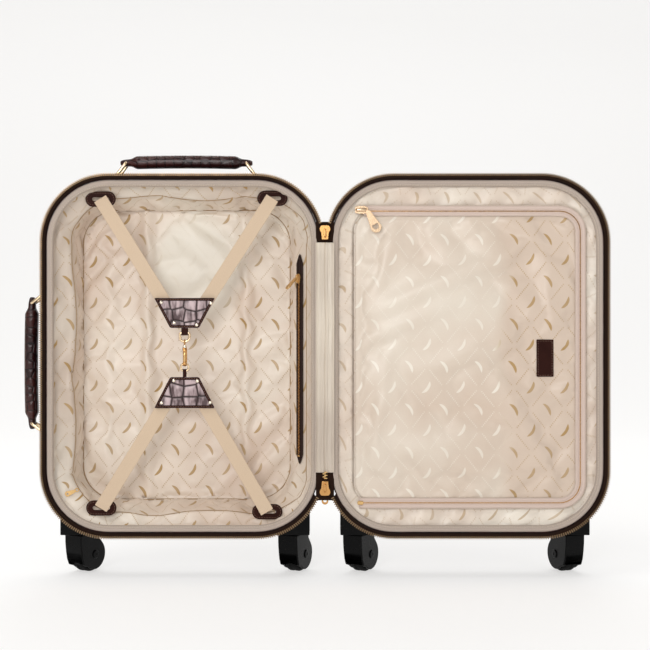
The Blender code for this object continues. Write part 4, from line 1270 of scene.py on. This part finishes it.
def zip_line():
    """Tapes, coil, stop and slider of the U zip. The inner tape goes with the panel."""
    for word, body, insets in (("inner", "divider", (0.0009, 0.0072)),
                               ("outer", "lid", (-0.0009, -0.0078))):
        steps = np.linspace(insets[0], insets[1], 3)
        rows = np.stack([u_way(inset, y) for inset, y in zip(steps, (0.0062, 0.0050, 0.0050))], 1)
        piece(f"divider_tape_{word}", grid(rows), TAPE_PINK, body, thickness=0.0007, offset=0,
              smooth=60)
        hem = u_way(insets[1] * 0.95, 0.0044)
        stitching(f"divider_tape_stitches_{word}", hem, FRONT, PALE_THREAD, body, thick=0.00026)
        lip = tube(u_way(insets[0] * 1.6, 0.0058), 0.0008, sides=8)
        piece(f"divider_tape_lip_{word}", lip, TAPE_PINK, body, round=True)
    points, ahead = spaced(u_way(0.0, 0.0062), 0.0017)
    unit = block(0.0006, 0.0010, 0.0006)
    piece("divider_coil", copies(unit, points, ahead, FRONT), ROSE_BRASS, "lid")
    x0, x1, z0, z1 = PANEL
    stop = slab(rounded(x0 + 0.0035, x0 + 0.0115, z0 - 0.0024, z0 + 0.0024, 0.0016), 0.0038, 0.0072)
    piece("divider_zip_stop", stop, BRASS, "lid", bevel=0.0006)
    edge = np.array([(x0 + 0.0045, 0.0068, z) for z in np.linspace(z0 + 0.012, z1 - 0.014, 60)])
    stitching("divider_edge_stitches", edge, FRONT, PALE_THREAD, "divider", thick=0.00026)
    slider_x, slider_z = 0.049, 0.4956
    outline = mm((-8.8, -4), (-8.4, 4), (-4, 5), (3.6, 5.4), (8.6, 3.4), (9, 0), (8.6, -3.4),
                 (3.6, -5.4), (-4, -5))
    shape = soften([(slider_x + a, slider_z + b) for a, b in outline], 0.0008)
    rise = mm((-6.6, 4), (-5.6, 1.8), (0, 1.1), (5.6, 1.8), (6.6, 4))
    way = [(slider_x + a, b, slider_z) for a, b in rise]
    bridge = tube(way, 0.0013, (0, 0, 1), 12, flat=2.0)
    piece("divider_slider_body", join([slab(shape, 0.0030, 0.0050), bridge]), PALE_ROSE,
          "divider_slider", "divider_slider", bevel=0.0005)
    tab = pull_tab(0.0026, 0.0006, 0.0265, 0.0074, 20)
    hole = [(-0.0040, -0.0225), (0.0040, -0.0225)] + arc(0, -0.0252, 0.0040, 0, -180, 12)
    hang = (Matrix.Translation((0.056, 0.0007, slider_z))
            @ Matrix.Rotation(math.radians(-28), 4, "Y"))
    piece("divider_puller_tab", moved(frame_slab(tab, hole, -0.0008, 0.0008), hang), PALE_ROSE,
          "divider_puller", "divider_puller", bevel=0.0004)


def label(level):
    """Blank leather label with a sewn border, on the cloth at a level."""
    x, z = LABEL
    outline = pill(x, z, 0.0114, 0.0250, 0.0012)
    piece("divider_label", slab(outline, level - 0.0014, level + 0.0006), CALF, "divider",
          bevel=0.0004)
    path = dense(pill(x, z, 0.0094, 0.0230, 0.001, 2), 0.002)
    stitching("divider_label_stitches", standing(path, level - 0.0015), FRONT, BROWN_THREAD,
              "divider", True, 0.00026)


# ---------------------------------------------------------------- carry handles

RING_FOOT = (0.097, 0.0045)
RING_TOP = (0.081, 0.0255)
HANDLE_Y = 0.034


def carry_handle(prefix, matrix, words):
    """Padded croc grip on two leaning gilt rings. Local X runs along the grip, Z outwards."""
    half_length = 0.090
    half_count, sides = 30, 24
    rows = []
    for i in range(2 * half_count + 1):
        a = half_length * math.sin(math.pi / 2 * (i / half_count - 1))
        share = abs(a) / half_length
        height = RING_TOP[1] + 0.0016 * (1 - share ** 2)
        fall = min(max((0.0765 - abs(a)) / 0.010, 0.0), 1.0)
        ease = fall * fall * (3 - 2 * fall)
        tip = math.sqrt(max(1 - share ** 14, 0.0))
        thick = (0.0052 + 0.0036 * ease) * (0.35 + 0.65 * tip)
        wide = (0.0072 + 0.0034 * ease) * (0.45 + 0.55 * tip)
        ring = []
        for k in range(sides):
            t = 2 * math.pi * (k + 0.5) / sides
            c, s = math.cos(t), math.sin(t)
            ring.append((a, wide * math.copysign(abs(c) ** 0.72, c),
                         height + thick * math.copysign(abs(s) ** 0.72, s)))
        rows.append(ring)
    grip = moved(grid(rows, wrap_cols=True, caps=True), matrix)
    piece(f"{prefix}_handle_leather", grip, CROC_SMALL, f"{prefix}_grip", f"{prefix}_handle_grip",
          smooth=60)
    for end in (-1, 1):
        row = [(x, end * 0.0094, RING_TOP[1] + 0.0058 + 0.0016 * (1 - (x / half_length) ** 2))
               for x in np.linspace(-0.070, 0.070, 60)]
        path = [matrix @ Vector(p) for p in row]
        normal = (matrix.to_3x3() @ Vector((0, end, 1))).normalized()
        stitching(f"{prefix}_handle_stitches_{'front' if end < 0 else 'back'}", path, normal,
                  BROWN_THREAD, f"{prefix}_grip", thick=0.0003)
    for end, word in zip((-1, 1), words):
        foot = Vector((end * RING_FOOT[0], RING_FOOT[1]))
        rise = Vector((end * RING_TOP[0], RING_TOP[1])) - foot
        way = []
        for y, b in rounded(-0.0102, 0.0102, 0.0, rise.length, 0.0042, 5):
            along = foot + rise * (b / rise.length)
            way.append((along.x, y, along.y))
        normal = Vector((rise.y, 0, -rise.x)).normalized()
        ring = moved(tube(way, 0.00125, normal, 16, True, flat=1.62), matrix)
        piece(f"{prefix}_ring_{word}_bar", ring, RING_GOLD, f"{prefix}_ring_{word}",
              f"{prefix}_handle_ring_{word}", smooth=60)
        anchor(prefix, word, end, matrix)


def anchor(prefix, word, end, matrix):
    """Gilt saddle over the foot of a ring."""
    a, h = end * RING_FOOT[0], RING_FOOT[1]
    outline = (
        [(a - 0.0090, 0.0003), (a - 0.0090, 0.0018), (a - 0.0044, 0.0020)]
        + arc(a, h, 0.0042, 180, 0, 12)
        + [(a + 0.0044, 0.0020), (a + 0.0090, 0.0018), (a + 0.0090, 0.0003), (a + 0.0022, 0.0003)]
        + arc(a, h, 0.0022, 0, 180, 10)
        + [(a - 0.0022, 0.0003)]
    )
    shape = moved(slab(outline, -0.0055, 0.0055), matrix)
    piece(f"{prefix}_anchor_{word}_saddle", shape, BRASS, "case", f"{prefix}_handle_anchor_{word}",
          bevel=0.0004, smooth=35)


# ---------------------------------------------------------------- trolley handle

TROLLEY_Y = 0.0845


def trolley():
    """The CAD tubes get their metal, and the grip and button are moulded anew."""
    nodes = frame["nodes"]
    recolour(nodes["trolley_frame"], plastic_over_tubes("trolley_frame_finish", 0.498))
    for word in ("left", "right"):
        recolour(nodes[f"trolley_stage_{word}"], ALUMINIUM)
    middle = -CENTRE_U
    grip = slab(pill(middle, TROLLEY_Y, 0.082, 0.008, 0.0068, 8), 0.516, TOP + 0.001, "Z")
    bars = [slab(pill(middle + end * 0.070, TROLLEY_Y, 0.0075, 0.0026, 0.002, 4), 0.118, 0.520, "Z")
            for end in (-1, 1)]
    piece("trolley_grip", grip, BLACK, "trolley_handle", "trolley_handle", bevel=0.0022, segments=4)
    for bar, word in zip(bars, ("left", "right")):
        piece(f"trolley_bar_{word}", bar, ALUMINIUM, "trolley_handle", bevel=0.0003)
    button = slab(pill(middle, TROLLEY_Y, 0.016, 0.004, 0.0036), 0.5315, TOP + 0.0022, "Z")
    piece("trolley_button_cap", button, BRASS, "trolley_button", "trolley_button", bevel=0.0008)


def recolour(obj, material):
    obj.data.materials.clear()
    obj.data.materials.append(material)


# ---------------------------------------------------------------- casters

PIVOT_OUT = 0.146
PIVOT_Y = 0.052
WHEEL_R = 0.024
TRAIL = 0.014
FORK_TOP = 0.0537
HOUSING_BOTTOM = 0.0543
HOUSING_IN, HOUSING_OUT = 0.124, 0.170    # from the middle of a half


def caster(name, side, out, yaw, half):
    """Housing on the shell's corner, boot-shaped fork and ribbed wheel."""
    c, z = CENTRE_U - HALF_GAP - CORNER, BOTTOM + CORNER
    radius = CORNER + 0.0004
    first = -math.degrees(math.acos((HOUSING_OUT - c) / radius))
    last = -math.degrees(math.acos((HOUSING_IN - c) / radius))
    outline = [(HOUSING_IN, HOUSING_BOTTOM), (HOUSING_OUT, HOUSING_BOTTOM)]
    outline += arc(c, z, radius, first, last, 14)
    middle = side * CENTRE_U
    shape = [(middle + out * a, b) for a, b in outline]
    piece(f"{name}_housing_cap", slab(shape, PIVOT_Y - 0.022, PIVOT_Y + 0.024), BLACK, half,
          f"{name}_housing", bevel=0.0020, segments=4)
    pivot = Vector((middle + out * PIVOT_OUT, PIVOT_Y, 0))
    turn = Matrix.Translation(pivot) @ Matrix.Rotation(math.radians(yaw), 4, "Z")
    boot = ([(-0.0165, FORK_TOP), (-0.0162, 0.042), (-0.0148, 0.030), (-0.0128, 0.0195),
             (-0.0092, 0.0110)]
            + arc(TRAIL, WHEEL_R, 0.0212, 228, 405, 24) + [(0.0232, 0.046), (0.0225, FORK_TOP)])
    fork = piece(f"{name}_fork_boot", moved(slab(boot, -0.0145, 0.0145, "X"), turn), BLACK,
                 f"{name}_fork", f"{name}_fork")
    room = slab(((-0.0123, -0.010), (0.050, -0.010), (0.050, 0.0490), (-0.0123, 0.0490)),
                -0.0112, 0.0112, "X")
    carve(fork, moved(room, turn))
    bevel_edges(fork, 0.0015, 4, 40)
    axle = turn @ Matrix.Translation((0, TRAIL, WHEEL_R)) @ Matrix.Rotation(math.pi / 2, 4, "Y")
    cap = lathe(mm((6, 14), (6, 15.2), (5.2, 16), (2, 16.2), (1.8, 15.6), (0.2, 15.6)), 28)
    caps = join([moved(cap, axle), moved(cap, axle @ Matrix.Rotation(math.pi, 4, "X"))])
    piece(f"{name}_axle_caps", caps, BLACK, f"{name}_fork", smooth=40)
    half_profile = ((0.0034, 0.0090), (0.0060, 0.0090), (0.0066, 0.0080), (0.0130, 0.0072),
                    (0.0172, 0.0074), (0.0180, 0.0086), (0.0212, 0.0090), (0.0232, 0.0078),
                    (WHEEL_R, 0.0060), (WHEEL_R, 0.0022), (WHEEL_R - 0.0009, 0.0014))
    profile = [(r, -t) for r, t in half_profile] + [(r, t) for r, t in reversed(half_profile)]
    wheel = moved(lathe(profile, 56, closed=True), axle)
    piece(f"{name}_wheel_tyre", wheel, TYRE, f"{name}_wheel", f"{name}_wheel", smooth=32)


# ---------------------------------------------------------------- small extras

def access_puller():
    """Small puller of the zip behind the lining, at the lower outer corner."""
    hang = Matrix.Translation((-0.3375, 0.0150, 0.1170)) @ Matrix.Rotation(math.radians(68), 4, "Y")
    tab = pull_tab(0.0016, 0.0010, 0.0110, 0.0036, 14)
    hole = pill(0, -0.0110, 0.0016, 0.0014, 0.0014, 4)
    shape = moved(frame_slab(tab, hole, -0.0006, 0.0006), hang)
    loop_bar = moved(tube([(a, 0, b) for a, b in arc(0, 0.0026, 0.0022, 0, 345, 23)], 0.0007,
                          sides=8, closed=True), hang)
    piece("access_zip_puller", join([shape, loop_bar]), BRASS, "case", smooth=40)


# ---------------------------------------------------------------- stage

def area_light(name, place, target, size, power):
    lamp = bpy.data.lights.new(name, "AREA")
    lamp.shape = "RECTANGLE"
    lamp.size, lamp.size_y = size
    lamp.energy = power
    obj = placed(name, lamp, place)
    obj.rotation_euler = (Vector(target) - Vector(place)).to_track_quat("-Z", "Y").to_euler()


DAYLIGHT = (1.0, 0.99, 0.975, 1)
FLOOR_GLOW = 0.56
SKY_STRENGTH = 0.42
CAMERA_AT = (0, -1.7, 0.341)       # from ORIGIN
LENS = 70.3                        # mm, on a sensor 36 mm wide
LAMPS = (                          # name, place, target, size, power
    ("key", (-0.62, -2.6, 0.95), (-0.1, 0, 0.30), (1.0, 0.9), 24),
    ("top", (-1.0, -1.2, 2.6), (0, 0, 0.25), (1.2, 1.2), 16),
    ("fill", (2.2, -2.4, 1.0), (0, 0, 0.25), (1.2, 1.2), 9),
    ("back", (0.2, 1.9, 2.6), (0, 0, 0.3), (2.4, 1.0), 26),
)


def stage():
    """Pale sweep, soft light and the camera."""
    sweep = [(y, 0.0) for y in np.linspace(-6, 2.0, 12)]
    sweep += [(2.0 + a, b) for a, b in arc(0, 1.2, 1.2, -90, 0, 16)[1:]]
    sweep += [(3.2, z) for z in (2.0, 4.0, 7.0)]
    mesh = new_mesh("sweep", grid([[(x, y, z) for x in (-8.0, 8.0)] for y, z in sweep]))
    mesh.shade_smooth()
    floor = placed("sweep", mesh)
    s = Shader("pale_floor", {"Specular IOR Level": 0.1})
    base = s.mix(s.noise(3), (0.475, 0.475, 0.475, 1), (0.48, 0.48, 0.48, 1))
    mesh.materials.append(s.done(Base_Color=base, Roughness=0.9,
                                 Emission_Color=DAYLIGHT, Emission_Strength=FLOOR_GLOW))
    world = bpy.data.worlds.new("studio")
    world.use_nodes = True
    sky = world.node_tree.nodes["Background"].inputs
    sky["Color"].default_value = DAYLIGHT
    sky["Strength"].default_value = SKY_STRENGTH
    bpy.context.scene.world = world
    for lamp in LAMPS:
        area_light(*lamp)
    bpy.context.scene.view_settings.view_transform = "Standard"
    camera = bpy.data.cameras.new("camera")
    camera.sensor_width = 36
    camera.lens = LENS
    obj = placed("camera", camera, ORIGIN + Vector(CAMERA_AT))
    obj.rotation_euler = (math.radians(90), 0, 0)
    bpy.context.scene.camera = obj


# ---------------------------------------------------------------- assembly

stage()
for name, side, body, prefix in (("back_shell", CASE, "case", "case"),
                                 ("front_shell", LID, "lid", "lid")):
    shell(name, side, body)
    main_zip(side, body, prefix)
    binding(side, body, prefix)
case_lining()
lid_lining()
pleats()
main_slider("upper", 0.4643, 1)
main_slider("lower", 0.1232, -1)
end_teeth()
pocket_zip()
for strap_name, patch_at, end_at in STRAPS:
    strap(strap_name, patch_at, end_at)
clasp()
divider()
carry_handle("top", Matrix.Translation((STRAP_X, HANDLE_Y, TOP)), ("left", "right"))
carry_handle("side", Matrix.Translation((-(HALF_GAP + WIDTH), HANDLE_Y, 0.289))
             @ Matrix.Rotation(math.radians(-90), 4, "Y"), ("lower", "upper"))
trolley()
for caster_name, caster_side, outwards, yaw_at, half_body in (
        ("case_outer", CASE, -1, -30, "case"), ("case_inner", CASE, 1, -24, "case"),
        ("lid_inner", LID, -1, -30, "lid"), ("lid_outer", LID, 1, 20, "lid")):
    caster(caster_name, caster_side, outwards, yaw_at, half_body)
access_puller()
